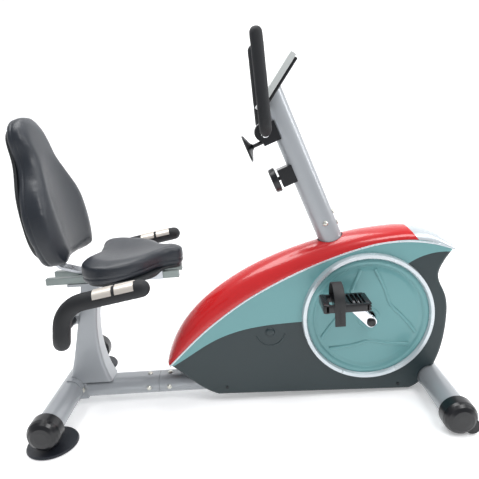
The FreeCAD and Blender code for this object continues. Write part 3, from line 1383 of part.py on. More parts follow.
def side_shell():
    """The hollow slab under the crown, both sides in one."""
    slab = wide_prism(FACE, size("cover_half_width"))
    shoulder_top = [edge for edge in slab.Edges if edge.Length > size("cover_length") * 0.97]
    top_ids = {edge.hashCode() for edge in shoulder_top}
    low = []
    for edge in slab.Edges:
        across = abs(edge.tangentAt(edge.FirstParameter).y) > 0.9
        if not across and edge.hashCode() not in top_ids:
            low.append(edge)
    slab = slab.makeFillet(size("cover_edge"), low)
    rim = 2 * WALL
    corners = [point for edge in FACE.OuterWire.OrderedEdges for point in ahead_along(edge)]
    coarse = Part.Face(Part.makePolygon(corners + corners[:1]))
    inside = Part.Face(coarse.makeOffset2D(-rim, 2).OuterWire)
    slab = slab.cut(wide_prism(inside, size("cover_half_width") - WALL))
    reach = 2 * size("cover_half_width")
    axle = Part.makeCylinder(size("axle_hole_radius"), 2 * reach,
                             Vector(size(CRANK_X), -reach, size(CRANK_Z)), Vector(0, 1, 0))
    mast_hole = mast_room(size("mast_radius") + size("slide_clearance"))
    return slab.cut(axle).cut(beam_room()).cut(stabilizer_room()).cut(mast_hole)


def mast_room(radius):
    up = Vector(-math.sin(math.radians(size("mast_lean"))), 0, math.cos(math.radians(size("mast_lean"))))
    start = at(size("mast_ahead"), 0, size("mast_foot_height")) - up * 300
    return Part.makeCylinder(radius, 500, start, up)


def band_prism():
    """The light band between the shoulder and a lower curve that passes behind the disc."""
    crank_x, crank_z, disc = size(CRANK_X), size(CRANK_Z), size("disc_radius")
    front_end = Vector(NOSE.x + 10, 0, NOSE.z - 14)
    lower = spline([Vector(TIP.x - 12, 0, TIP.z - 12), Vector(TIP.x + 69, 0, TIP.z + 33),
                    Vector(TIP.x + 145, 0, TIP.z + 77), Vector(TIP.x + 238, 0, TIP.z + 109),
                    Vector(TIP.x + 394, 0, TIP.z + 125), Vector(crank_x, 0, crank_z + disc * 0.2),
                    Vector(crank_x + disc * 0.65, 0, crank_z + disc * 0.82),
                    Vector(crank_x + disc * 0.96, 0, crank_z + disc * 0.93), front_end])
    high = size("cover_tip_height + cover_rise + crown_height") + 100
    rear_x = TIP.x - 12
    outline = [Part.LineSegment(Vector(rear_x, 0, TIP.z - 12), Vector(rear_x, 0, high)).toShape(),
               Part.LineSegment(Vector(rear_x, 0, high), Vector(front_end.x, 0, high)).toShape(),
               Part.LineSegment(Vector(front_end.x, 0, high), front_end).toShape(), lower]
    return wide_prism(side_face(outline), 2 * size("cover_half_width"))


def half_of(shape, side):
    reach = 3000
    y_low, y_high = (-reach, 0) if side == "right" else (0, reach)
    return shape.common(block(-reach, reach, y_low, y_high, -reach, reach))


SHELL = side_shell()
BAND = band_prism()
LIGHT = SHELL.common(BAND)
DARK = SHELL.cut(BAND)
for side in ("right", "left"):
    node(f"lower_shell_{side}", made(f"lower_shell_{side}", half_of(DARK, side)))


node("side_bands", made("side_bands", Part.makeCompound([half_of(LIGHT, "right"), half_of(LIGHT, "left")])))


def crown():
    """The glossy crown over both sides, open round the mast."""
    shell = crown_loft(0).cut(crown_loft(WALL))
    return shell.cut(mast_room(size("mast_radius") + 3))


CROWN = crown()
CROWN_END = size("cover_rear + cover_length") * 0.91


def ahead_of(distance):
    """Everything in front of a plane that leans back over the crown."""
    room = block(0, 1500, -500, 500, -1500, 1500)
    room.rotate(Vector(), Vector(0, 1, 0), -34)
    room.translate(at(distance, 0, size("cover_tip_height + cover_rise")))
    return room


node("top_cover", made("top_cover", CROWN.cut(ahead_of(CROWN_END))))
node("nose_cover", made("nose_cover", CROWN.common(ahead_of(CROWN_END)).cut(wide_prism(FACE, 200))))


def disc_cover(side):
    """A round cover over the crank side, open at the axle."""
    low_y = size("-cover_half_width - disc_depth" if side == "right" else "cover_half_width")
    base = Vector(size(CRANK_X), low_y, size(CRANK_Z))
    disc = Part.makeCylinder(size("disc_radius - ring_width"), size("disc_depth"), base, Vector(0, 1, 0))
    return disc.cut(Part.makeCylinder(size("axle_hole_radius"), size("disc_depth"), base, Vector(0, 1, 0)))


def disc_ring(side):
    """The bright ring round a disc cover: a trapezoid turned about the crank axis."""
    sign = -1 if side == "right" else 1
    inner = size("disc_radius - ring_width")
    outer = size("disc_radius")
    face_y = sign * size("cover_half_width")
    top_y = face_y + sign * size("ring_depth")
    corners = [Vector(inner, face_y, 0), Vector(outer, face_y, 0), Vector(outer - 3, top_y, 0),
               Vector(inner + 4, top_y, 0), Vector(inner, face_y + sign * size("disc_depth"), 0)]
    ring = Part.Face(Part.makePolygon(corners + corners[:1])).revolve(Vector(), Vector(0, 1, 0), 360)
    ring.translate(Vector(size(CRANK_X), 0, size(CRANK_Z)))
    return ring


node("disc_covers", made("disc_covers", Part.makeCompound([disc_cover("right"), disc_cover("left")])))
node("disc_rings", made("disc_rings", Part.makeCompound([disc_ring("right"), disc_ring("left")])))


def cover_screws():
    """Screws low on both side shells, ahead of and behind the disc."""
    screws = []
    reach = size("disc_radius")
    for x, z in ((size(CRANK_X) + reach * 0.47, size(CRANK_Z) - reach * 1.18),
                 (size(CRANK_X) - reach * 2.22, size(CRANK_Z) - reach * 1.06)):
        face = Vector(x, -size("cover_half_width") - 2, z)
        head = Part.makeCylinder(size("screw_radius"), 2, face, Vector(0, 1, 0))
        screws += [head, mirrored(head)]
    return Part.makeCompound(screws)


node("cover_screws", made("cover_screws", cover_screws()))

# ---- check everything, then write one file per node ----
doc.recompute()
for thing in doc.Objects:
    if "Invalid" in thing.State or "Error" in thing.State:
        raise RuntimeError(f"{thing.Name} is {thing.State}")
os.makedirs("parts", exist_ok=True)
for name, thing in NODES.items():
    shape = thing.Shape
    if shape.isNull() or not shape.isValid() or not shape.Solids:
        raise RuntimeError(f"{name} has no sound solid")
    shape.exportStep(f"parts/{name}.step")
print(len(NODES), "nodes")
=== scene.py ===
# %% [markdown]
# # A recumbent exercise bike
# The bike arrives from the CAD model as a fixed frame: beams, mast, covers and moving parts are
# already in place, in metres, with +X forward, +Y to the rider's left and +Z up. This lesson
# gives it what a CAD model lacks: stuffed vinyl, foam, chrome, paint and moulded plastic.

# %% Load the frame
import json
import math

import bmesh
import bpy
from mathutils import Matrix, Vector


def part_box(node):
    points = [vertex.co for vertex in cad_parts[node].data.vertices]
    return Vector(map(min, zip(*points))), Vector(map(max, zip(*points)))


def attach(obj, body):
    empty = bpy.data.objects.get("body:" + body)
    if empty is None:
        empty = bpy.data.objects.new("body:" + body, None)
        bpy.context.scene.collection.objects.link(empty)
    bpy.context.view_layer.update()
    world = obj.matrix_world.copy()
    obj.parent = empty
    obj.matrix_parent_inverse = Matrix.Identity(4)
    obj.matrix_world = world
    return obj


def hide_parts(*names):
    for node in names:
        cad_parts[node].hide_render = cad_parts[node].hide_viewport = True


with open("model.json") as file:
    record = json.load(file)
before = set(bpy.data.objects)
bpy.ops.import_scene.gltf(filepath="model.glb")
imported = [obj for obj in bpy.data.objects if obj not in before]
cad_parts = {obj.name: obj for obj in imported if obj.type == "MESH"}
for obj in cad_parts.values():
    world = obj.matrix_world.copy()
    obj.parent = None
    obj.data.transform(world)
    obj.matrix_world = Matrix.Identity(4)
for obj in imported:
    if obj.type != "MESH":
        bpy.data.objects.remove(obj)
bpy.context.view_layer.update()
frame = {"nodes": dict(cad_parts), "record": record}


def middle(node):
    """The middle of a CAD node's box."""
    low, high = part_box(node)
    return (Vector(low) + Vector(high)) / 2


CRANK = middle("crank_axle")
HUB = middle("flywheel_axle")
SIDES = (("right", -1), ("left", 1))

# %% [markdown]
# ## The camera
# A product picture of a bike is taken from a standing eye's height and from close by, so its
# near end feet look larger than its far ones. A camera is a place, three directions and a lens,
# and its matrix takes the three directions as columns.

# %% Set the camera
YAW, PITCH, ROLL = -0.0221, 0.2442, -0.0728
ahead = Vector((math.sin(YAW) * math.cos(PITCH), math.cos(YAW) * math.cos(PITCH), -math.sin(PITCH)))
level = Vector((math.cos(YAW), -math.sin(YAW), 0))
upright = level.cross(ahead)
right = math.cos(ROLL) * level + math.sin(ROLL) * upright
up = -math.sin(ROLL) * level + math.cos(ROLL) * upright
camera = bpy.data.objects.new("camera", bpy.data.cameras.new("camera"))
camera.data.sensor_width = 36
camera.data.lens = 36.075
camera.matrix_world = Matrix.Translation((0.0405, -1.4711, 0.8973)) @ Matrix(
    (right, up, -ahead)).transposed().to_4x4()
bpy.context.scene.collection.objects.link(camera)
bpy.context.scene.camera = camera
print("camera looks along", [round(v, 3) for v in ahead])

# %% [markdown]
# ## Studio
# One broad soft light above the front end, a narrower strip from ahead for the long highlights on
# tubes, and a large light overhead. Broad lights make gentle edges on gloss.


# %% Lights and world
def soft_light(name, place, target, width, height, watts, colour=(1, 1, 1)):
    data = bpy.data.lights.new(name, "AREA")
    data.shape = "RECTANGLE"
    data.size, data.size_y = width, height
    data.energy = watts
    data.color = colour
    lamp = bpy.data.objects.new(name, data)
    lamp.location = place
    lamp.rotation_euler = (Vector(target) - Vector(place)).to_track_quat("-Z", "Y").to_euler()
    bpy.context.scene.collection.objects.link(lamp)


soft_light("key", (1.3, -1.5, 2.9), (-0.1, 0, 0.5), 1.8, 1.2, 46)
soft_light("front_strip", (2.6, 0.2, 1.9), (-0.2, 0, 0.6), 0.6, 2.0, 30)
soft_light("overhead", (-0.4, 0.3, 2.7), (-0.1, 0, 0.4), 2.6, 1.2, 58)
world = bpy.data.worlds.new("studio")
world.use_nodes = True
world.node_tree.nodes["Background"].inputs["Color"].default_value = (0.93, 0.95, 1.0, 1)
world.node_tree.nodes["Background"].inputs["Strength"].default_value = 0.42
bpy.context.scene.world = world
bpy.context.scene.view_settings.view_transform = "Standard"

# %% [markdown]
# ## Finishes
# Every finish here is one recipe with different amounts: a slow noise shifts the colour and the
# gloss a little, as paint and plastic do over a large piece, and a fine noise raises the grain.
# The patterns read Object coordinates, so they stay put on the piece in every view.


# %% One recipe for painted and moulded surfaces
def finish(name, colour, rough, metallic=0.0, coat=0.0, grain=900, relief=0.0002, shift=0.12, cells=False,
           stretch=(1, 1, 1), sheen=0.0):
    """A Principled material whose colour, gloss and relief all vary a little."""
    made = bpy.data.materials.new(name)
    made.use_nodes = True
    tree = made.node_tree
    nodes, join = tree.nodes, tree.links.new
    shader = nodes["Principled BSDF"]
    shader.inputs["Metallic"].default_value = metallic
    shader.inputs["Coat Weight"].default_value = coat
    shader.inputs["Coat Roughness"].default_value = 0.06
    shader.inputs["Sheen Weight"].default_value = sheen
    place = nodes.new("ShaderNodeTexCoord")
    turn = nodes.new("ShaderNodeMapping")
    turn.inputs["Scale"].default_value = stretch
    join(place.outputs["Object"], turn.inputs["Vector"])
    slow = nodes.new("ShaderNodeTexNoise")
    slow.inputs["Scale"].default_value = 7
    slow.inputs["Detail"].default_value = 5
    join(place.outputs["Object"], slow.inputs["Vector"])
    tint = nodes.new("ShaderNodeMix")
    tint.data_type = "RGBA"
    tint.inputs["A"].default_value = (*[c * (1 - shift) for c in colour], 1)
    tint.inputs["B"].default_value = (*[min(1, c * (1 + shift)) for c in colour], 1)
    join(slow.outputs["Fac"], tint.inputs["Factor"])
    join(tint.outputs["Result"], shader.inputs["Base Color"])
    fine = nodes.new("ShaderNodeTexVoronoi" if cells else "ShaderNodeTexNoise")
    fine.inputs["Scale"].default_value = grain
    join(turn.outputs["Vector"], fine.inputs["Vector"])
    height = fine.outputs["Distance" if cells else "Fac"]
    gloss = nodes.new("ShaderNodeMapRange")
    gloss.inputs["To Min"].default_value = max(0.02, rough * 0.82)
    gloss.inputs["To Max"].default_value = min(1, rough * 1.18)
    join(slow.outputs["Fac"], gloss.inputs["Value"])
    join(gloss.outputs["Result"], shader.inputs["Roughness"])
    bump = nodes.new("ShaderNodeBump")
    bump.inputs["Strength"].default_value = 0.6
    bump.inputs["Distance"].default_value = relief
    join(height, bump.inputs["Height"])
    join(bump.outputs["Normal"], shader.inputs["Normal"])
    return made


# %% [markdown]
# The finishes of this bike. The frame is silver powder coat with a clear lacquer, the crown is
# piano-gloss red, the side bands a satin blue-green, the lower shells a grained dark slate.

# %% Mix the finishes
FINISHES = {
    "frame_silver": finish("silver lacquer", (0.36, 0.38, 0.40), 0.36, 0.30, 0.25, 1400, 0.00006, 0.05),
    "rail_grey": finish("grey enamel", (0.25, 0.29, 0.28), 0.38, 0.35, 0.1, 900, 0.0001, 0.08),
    "black_plastic": finish("black moulding", (0.0035, 0.004, 0.0055), 0.30, 0, 0.08, 1500, 0.00010, 0.2),
    "grip_foam": finish("grip foam", (0.003, 0.004, 0.006), 0.62, 0, 0, 620, 0.0006, 0.25, True),
    "vinyl": finish("seat vinyl", (0.012, 0.016, 0.023), 0.42, 0, 0.06, 430, 0.0005, 0.14, True),
    "board": finish("seat board", (0.014, 0.016, 0.018), 0.5, 0, 0, 800, 0.0002, 0.2),
    "red_gloss": finish("red gloss", (0.52, 0.010, 0.012), 0.26, 0, 0.45, 500, 0.00003, 0.06),
    "teal_plastic": finish("blue-green satin", (0.13, 0.31, 0.32), 0.34, 0.1, 0.25, 1300, 0.00008, 0.05),
    "dark_shell": finish("slate moulding", (0.010, 0.024, 0.028), 0.42, 0, 0.10, 1200, 0.00014, 0.12),
    "silver_plastic": finish("silver moulding", (0.60, 0.65, 0.68), 0.27, 0.45, 0.3, 1300, 0.00006, 0.05),
    "chrome": finish("chrome", (0.72, 0.74, 0.78), 0.09, 1.0, 0, 300, 0.00003, 0.04),
    "zinc_bolt": finish("zinc", (0.62, 0.62, 0.56), 0.28, 0.9, 0, 900, 0.0001, 0.1),
    "steel": finish("bright steel", (0.52, 0.54, 0.57), 0.27, 0.9, 0, 700, 0.00008, 0.08,
                    stretch=(1, 12, 12)),
    "flywheel_iron": finish("machined iron", (0.12, 0.12, 0.125), 0.42, 0.8, 0, 700, 0.0002, 0.15),
    "belt_rubber": finish("rubber", (0.013, 0.014, 0.015), 0.55, 0, 0, 900, 0.0002, 0.2),
    "sensor_plate": finish("sensor steel", (0.66, 0.61, 0.55), 0.33, 0.5, 0, 800, 0.0001, 0.06,
                           stretch=(1, 14, 1)),
    "console_grey": finish("console grey", (0.50, 0.52, 0.51), 0.42, 0, 0.05, 1500, 0.00012, 0.05),
    "console_lens": finish("display window", (0.012, 0.02, 0.018), 0.10, 0, 0.8, 300, 0.00001, 0.1),
    "button": finish("button rubber", (0.055, 0.065, 0.07), 0.5, 0, 0, 1200, 0.0001, 0.15),
    "black_enamel": finish("black enamel", (0.010, 0.012, 0.015), 0.30, 0.1, 0.3, 1100, 0.00008, 0.1),
    "dark_screw": finish("blackened screw", (0.03, 0.034, 0.036), 0.35, 0.8, 0, 900, 0.0001, 0.1),
    "foot_rubber": finish("foot moulding", (0.012, 0.015, 0.022), 0.46, 0, 0.05, 900, 0.0002, 0.15),
}
for entry in frame["record"]["subparts"]:
    part = frame["nodes"][entry["node"]]
    for index in range(len(part.material_slots)):
        part.material_slots[index].material = FINISHES[entry["material_slot"]]
print(len(FINISHES), "finishes on", len(frame["nodes"]), "CAD nodes")

# %% [markdown]
# ## Helpers for new pieces
# Each piece starts as a bmesh, becomes an object at the origin, takes a finish, rides on a body of
# the frame, and may stand for the plain CAD nodes underneath.


# %% From bmesh to a finished piece
def piece(name, bm, slot, body, *stands_for, smooth=True):
    """Turn a bmesh into an object of this bike."""
    mesh = bpy.data.meshes.new(name)
    bm.to_mesh(mesh)
    bm.free()
    if smooth:
        mesh.shade_smooth()
        mesh.set_sharp_from_angle(angle=math.radians(38))
    made = bpy.data.objects.new(name, mesh)
    bpy.context.scene.collection.objects.link(made)
    mesh.materials.append(FINISHES[slot])
    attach(made, body)
    if stands_for:
        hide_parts(*stands_for)
    return made


def copied(node):
    """A welded bmesh copy of a CAD node."""
    bm = bmesh.new()
    bm.from_mesh(frame["nodes"][node].data)
    bmesh.ops.remove_doubles(bm, verts=bm.verts, dist=0.00001)
    return bm


def relaxed(bm, rounds):
    """Smooth every point towards its neighbours, a few times over."""
    for _ in range(rounds):
        bmesh.ops.smooth_vert(bm, verts=bm.verts, factor=0.5, use_axis_x=True, use_axis_y=True,
                              use_axis_z=True)


def frozen(made):
    """Apply an object's modifiers to its mesh."""
    graph = bpy.context.evaluated_depsgraph_get()
    baked = bpy.data.meshes.new_from_object(made.evaluated_get(graph))
    made.modifiers.clear()
    made.data = baked
    return made


# %% [markdown]
# A lathe: a profile of (radius, height) pairs is spun round an axis. `bmesh.ops.spin` makes the
# whole surface from one bent line, and `use_merge` closes it where it meets itself.


# %% A lathe and a bent rod
def lathe(bm, profile, centre, toward=-1, steps=96):
    """Spin a profile round an axis along Y; toward is the side its heights point to."""
    new = [bm.verts.new((radius, toward * height, 0)) for radius, height in profile]
    edges = [bm.edges.new(pair) for pair in zip(new, new[1:])]
    made = bmesh.ops.spin(bm, geom=new + edges, cent=(0, 0, 0), axis=(0, 1, 0), angle=math.tau, steps=steps,
                          use_merge=True)
    verts = {v for face in bm.faces for v in face.verts if v.is_valid and v.tag is False}
    fresh = [v for v in verts]
    bmesh.ops.translate(bm, verts=fresh, vec=centre)
    for v in fresh:
        v.tag = True
    bmesh.ops.remove_doubles(bm, verts=bm.verts, dist=0.00002)
    bmesh.ops.recalc_face_normals(bm, faces=bm.faces)
    for v in bm.verts:
        v.tag = True
    return made


def rod(name, points, radius, slot, body, flat=1.0, closed=False, sides=6):
    """A smooth curve with a round section, turned into a mesh; flat squeezes it across Y."""
    curve = bpy.data.curves.new(name, "CURVE")
    curve.dimensions = "3D"
    curve.bevel_depth = radius
    curve.bevel_resolution = sides
    curve.resolution_u = 10
    curve.use_fill_caps = True
    line = curve.splines.new("NURBS")
    line.points.add(len(points) - 1)
    for knot, place in zip(line.points, points):
        knot.co = (*place, 1)
    line.order_u = 3
    line.use_endpoint_u = not closed
    line.use_cyclic_u = closed
    holder = bpy.data.objects.new(name + "_line", curve)
    bpy.context.scene.collection.objects.link(holder)
    graph = bpy.context.evaluated_depsgraph_get()
    mesh = bpy.data.meshes.new_from_object(holder.evaluated_get(graph))
    bm = bmesh.new()
    bm.from_mesh(mesh)
    bpy.data.objects.remove(holder)
    if flat != 1.0:
        base = points[0][1]
        for v in bm.verts:
            v.co.y = base + (v.co.y - base) * flat
    bmesh.ops.recalc_face_normals(bm, faces=bm.faces)
    return piece(name, bm, slot, body)


# %% [markdown]
# ## Round side covers
# On the real bike each cover is one moulding: a raised lip against the bright ring, a shallow
# groove inside it, a gently domed field and a collar round the crank. A lathe makes all of it.
# Three raised ribs, each bowed towards the crank, are laid on the field as fine rods.

# %% Turn the side covers and lay their ribs
COVER_PROFILE = [(0.0222, 0), (0.0222, 0.0105), (0.0245, 0.0125), (0.033, 0.0125), (0.0355, 0.0098),
                 (0.060, 0.0112), (0.110, 0.0112), (0.150, 0.0098), (0.160, 0.0088), (0.1625, 0.0072),
                 (0.1685, 0.0072), (0.171, 0.0092), (0.1745, 0.0115), (0.182, 0.0115), (0.1885, 0.0092),
                 (0.1889, 0)]
RIB_LINE = [(-52, 0.158), (-34, 0.112), (-14, 0.084), (0, 0.078), (14, 0.084), (34, 0.112), (52, 0.158)]
BAND_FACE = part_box("side_bands")[1][1]
for side, sign in SIDES:
    bm = bmesh.new()
    lathe(bm, COVER_PROFILE, Vector((CRANK.x, sign * BAND_FACE, CRANK.z)), toward=sign, steps=128)
    if side == "right":
        piece("cover_disc_right", bm, "teal_plastic", "frame", "disc_covers")
    else:
        piece("cover_disc_left", bm, "teal_plastic", "frame")
    for number in range(3):
        turn = math.radians(-90 + 120 * number)
        ribs = []
        for swing, reach in RIB_LINE:
            angle = turn + math.radians(swing)
            ribs.append((CRANK.x + reach * math.cos(angle), sign * (BAND_FACE + 0.0108),
                         CRANK.z + reach * math.sin(angle)))
        rod(f"cover_rib_{side}_{number}", ribs, 0.0056, "teal_plastic", "frame", flat=0.62)

# %% [markdown]
# ## Pinstripe
# A pale trim strip covers the joint between the red crown and the side bands. It follows the
# crown's own lower edge, which is found on the CAD mesh: the widest points of the crown.


# %% Lay the trim strips
def crown_edge(sign):
    """The crown's lower edge on one side, from the rear tip to the nose."""
    found = {}
    for node in ("top_cover", "nose_cover"):
        for v in frame["nodes"][node].data.vertices:
            if sign * v.co.y > BAND_FACE - 0.00005:
                key = round(v.co.x / 0.045)
                if key not in found or v.co.z < found[key].z:
                    found[key] = v.co.copy()
    line = [found[key] for key in sorted(found)]
    even = [(before + 2 * point + after) / 4 for before, point, after in zip(line, line[1:], line[2:])]
    return line[:1] + even + line[-1:]


for side, sign in SIDES:
    edge = crown_edge(sign)
    print(side, "trim follows", len(edge), "points")
    line = [(p.x, sign * (BAND_FACE + 0.0002), p.z - 0.001) for p in edge]
    rod(f"trim_{side}", line, 0.0028, "silver_plastic", "frame", flat=0.45)

# %% [markdown]
# ## Hub plugs
# A small cap on each lower shell hides the flywheel's axle end, in a shallow round recess whose
# lower lip shows as a crescent.

# %% Plugs over the flywheel axle
for side, sign in SIDES:
    spot = Vector((HUB.x - 0.03, sign * BAND_FACE, HUB.z + 0.004))
    bm = bmesh.new()
    lathe(bm, [(0.0001, 0.0052), (0.008, 0.005), (0.0125, 0.0036), (0.0148, 0.0006), (0.0152, -0.001)], spot,
          toward=sign, steps=48)
    piece(f"hub_plug_{side}", bm, "dark_shell", "frame")
    lip = []
    for step in range(9):
        angle = math.radians(195 + 19 * step)
        lip.append((spot.x + 0.047 * math.cos(angle), spot.y, spot.z + 0.047 * math.sin(angle)))
    rod(f"hub_lip_{side}", lip, 0.0024, "dark_shell", "frame", flat=0.7)

# %% [markdown]
# ## Stuffed vinyl
# The seat and backrest are foam under tight vinyl. Each starts as its CAD solid, is remeshed into
# even small faces, drawn in a little, and then blown up by a cloth simulation with pressure and no
# gravity. The cloth finds the crowned form that a stuffed cover takes. A cap on how far a point
# may move keeps it near its CAD size, and a last smoothing lets the creases settle.


# %% Blow up a pad
def stuffed(name, node, body, voxel=0.006, draw_in=0.004, cap=0.012, rounds=3, pressure=2.6, settle=6):
    """Inflate a CAD pad as a cloth bag, then let the creases settle a little."""
    bm = copied(node)
    made = piece(name, bm, "vinyl", body, node)
    remesh = made.modifiers.new("even", "REMESH")
    remesh.mode = "VOXEL"
    remesh.voxel_size = voxel
    frozen(made)
    bm = bmesh.new()
    bm.from_mesh(made.data)
    relaxed(bm, rounds)
    bm.normal_update()
    for v in bm.verts:
        v.co -= v.normal * draw_in
    bm.to_mesh(made.data)
    bm.free()
    start = [v.co.copy() for v in made.data.vertices]
    cloth = made.modifiers.new("blow_up", "CLOTH")
    cloth.settings.quality = 4
    cloth.settings.use_pressure = True
    cloth.settings.uniform_pressure_force = pressure
    cloth.settings.effector_weights.gravity = 0
    cloth.settings.tension_stiffness = 18
    cloth.settings.compression_stiffness = 18
    cloth.settings.bending_stiffness = 1.2
    for number in range(1, 19):
        bpy.context.scene.frame_set(number)
    frozen(made)
    moved = 0.0
    for v, first in zip(made.data.vertices, start):
        step = v.co - first
        if step.length > cap:
            v.co = first + step * (cap / step.length)
        moved = max(moved, step.length)
    bpy.context.scene.frame_set(1)
    bm = bmesh.new()
    bm.from_mesh(made.data)
    relaxed(bm, settle)
    bm.to_mesh(made.data)
    bm.free()
    print(name, len(start), "points, moved up to", round(moved, 4))
    return made


# %% [markdown]
# A sewn seam is a groove where two panels are pulled together. Points near the seam line move
# against their own normal, deepest on the line. A body leaves its dish in the middle of a seat.


# %% Press seams and a dish into a pad
def groove(made, distance, depth, width):
    """Press a groove where distance(point, normal) is near zero."""
    bm = bmesh.new()
    bm.from_mesh(made.data)
    close = [e for e in bm.edges if abs(distance(e.verts[0].co, e.verts[0].normal)) < width * 3]
    bmesh.ops.subdivide_edges(bm, edges=close, cuts=1, use_grid_fill=True)
    bm.normal_update()
    for v in bm.verts:
        off = abs(distance(v.co, v.normal)) / width
        if off < 1:
            v.co -= v.normal * depth * (1 - off * off)
    bm.to_mesh(made.data)
    bm.free()


def pressed(made, change):
    for v in made.data.vertices:
        v.co += change(v.co)


# %% [markdown]
# ## Seat cushion
# Wide at the back and drawn in to a nose like a saddle, dished for the sitter, with a seam round
# its side where the top panel meets the side strip.

# %% Make the seat cushion
seat_low, seat_high = (Vector(c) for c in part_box("seat_pad"))
seat_middle = (seat_low + seat_high) / 2
seat = stuffed("seat_cushion", "seat_pad", "seat", cap=0.010, settle=6)


def dish(place):
    along = (place.x - seat_middle.x + 0.03) / 0.105
    across = place.y / 0.12
    depth = 0.013 * math.exp(-along * along - across * across)
    lift = max(0.0, (place.z - seat_middle.z) / (seat_high.z - seat_middle.z))
    rear_rise = 0.010 * max(0.0, 1 - (place.x - seat_low.x) / 0.09) * lift
    return Vector((0, 0, rear_rise - depth * lift))


def skirt(place):
    """The cover's lower edge wraps down over the rim of the board."""
    drop = max(0.0, (seat_middle.z - place.z) / (seat_middle.z - seat_low.z))
    return Vector((0, 0, -0.0065 * drop))


pressed(seat, dish)
pressed(seat, skirt)
groove(seat, lambda p, n: (p.z - seat_low.z - 0.017) if abs(n.z) < 0.75 else 1.0, 0.0022, 0.0035)
seat.data.shade_smooth()
seat.modifiers.new("fine", "SUBSURF").levels = 1
seat.modifiers["fine"].render_levels = 1

# %% [markdown]
# ## Backrest cushion
# Thin at the top, with thick side wings that hold the sitter. A seam runs along the side wall
# behind the rolled front edge.

# %% Make the backrest cushion
LEAN = math.radians(10)
LEAN_OUT = Vector((math.cos(LEAN), 0, math.sin(LEAN)))
back_low, back_high = (Vector(c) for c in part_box("backrest_pad"))
board = middle("backrest_board")
back = stuffed("backrest_cushion", "backrest_pad", "seat", voxel=0.0065, cap=0.012, rounds=4, settle=10)


def from_board(place):
    """How far in front of the board's middle plane a point is."""
    return (place - board).dot(LEAN_OUT)


groove(back, lambda p, n: (from_board(p) - 0.026) if abs(n.dot(LEAN_OUT)) < 0.7 else 1.0, 0.0022, 0.0035)
back.data.shade_smooth()
back.modifiers.new("fine", "SUBSURF").levels = 1
back.modifiers["fine"].render_levels = 1

# %% [markdown]
# ## Foam grips
# Foam sleeves are pushed over the tubes, so they bulge slightly and their ends are soft. The CAD
# sleeve is remeshed, relaxed and pushed out a little along its normals.


# %% Soften the foam
def softened(name, node, slot, body, voxel, rounds):
    made = piece(name, copied(node), slot, body, node)
    remesh = made.modifiers.new("even", "REMESH")
    remesh.mode = "VOXEL"
    remesh.voxel_size = voxel
    frozen(made)
    bm = bmesh.new()
    bm.from_mesh(made.data)
    relaxed(bm, rounds)
    bm.normal_update()
    for v in bm.verts:
        v.co += v.normal * 0.0006
    bm.to_mesh(made.data)
    bm.free()
    made.data.shade_smooth()
    made.modifiers.new("fine", "SUBSURF").levels = 1
    made.modifiers["fine"].render_levels = 1
    return made


softened("side_grip_foam", "hand_grips", "grip_foam", "frame", 0.004, 4)
softened("bar_grip_foam", "bar_grips", "grip_foam", "handlebar", 0.0034, 3)

# %% [markdown]
# ## Crank arms
# A forged arm tapers from its hub to the pedal's eye. Two circles joined by their convex hull give
# that outline, the outline is extruded to its thickness, and a bevel rounds the forging's edges.


# %% Forge the crank arms
def forged_arm(side, sign):
    low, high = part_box("crank_arms")
    pedal_eye = middle(f"pedal_{side}")
    thick = 0.012
    outer_y = low[1] if sign < 0 else high[1]
    inner_y = outer_y - sign * thick
    bm = bmesh.new()
    for centre, radius in ((CRANK, 0.0180), (pedal_eye, 0.0130)):
        place = Matrix.Translation((centre.x, inner_y, centre.z)) @ Matrix.Rotation(math.pi / 2, 4, "X")
        bmesh.ops.create_circle(bm, segments=40, radius=radius, matrix=place)
    bmesh.ops.convex_hull(bm, input=bm.verts)
    bmesh.ops.dissolve_limit(bm, angle_limit=0.01, verts=bm.verts, edges=bm.edges)
    made = bmesh.ops.extrude_face_region(bm, geom=bm.faces[:])
    bmesh.ops.translate(bm, verts=[g for g in made["geom"] if isinstance(g, bmesh.types.BMVert)],
                        vec=(0, sign * thick, 0))
    bmesh.ops.recalc_face_normals(bm, faces=bm.faces)
    rims = [e for e in bm.edges if len(e.link_faces) == 2 and e.calc_face_angle(0) > 0.8]
    bmesh.ops.bevel(bm, geom=rims, offset=0.003, segments=3, profile=0.5, affect="EDGES", material=-1)
    return bm


arms = bmesh.new()
for side, sign in SIDES:
    one = forged_arm(side, sign)
    holder = bpy.data.meshes.new("arm")
    one.to_mesh(holder)
    one.free()
    arms.from_mesh(holder)
piece("forged_crank_arms", arms, "chrome", "crank", "crank_arms")

# %% [markdown]
# ## Pedals
# A moulded pedal is an open frame: two tread bars with ridges, two side rails, a sleeve round the
# spindle and thin cross ribs. Each bar is a bevelled block, and they share one mesh.


# %% Mould a pedal
def bar(bm, low, high, ease=0.002, segments=2):
    """A block between two corners with its edges eased."""
    low, high = Vector(low), Vector(high)
    made = bmesh.ops.create_cube(bm, size=1.0, matrix=Matrix.Translation((low + high) / 2) @ Matrix.Diagonal(
        (*(high - low), 1)))
    edges = list({e for v in made["verts"] for e in v.link_edges})
    bmesh.ops.bevel(bm, geom=edges, offset=ease, segments=segments, profile=0.5, affect="EDGES", material=-1)


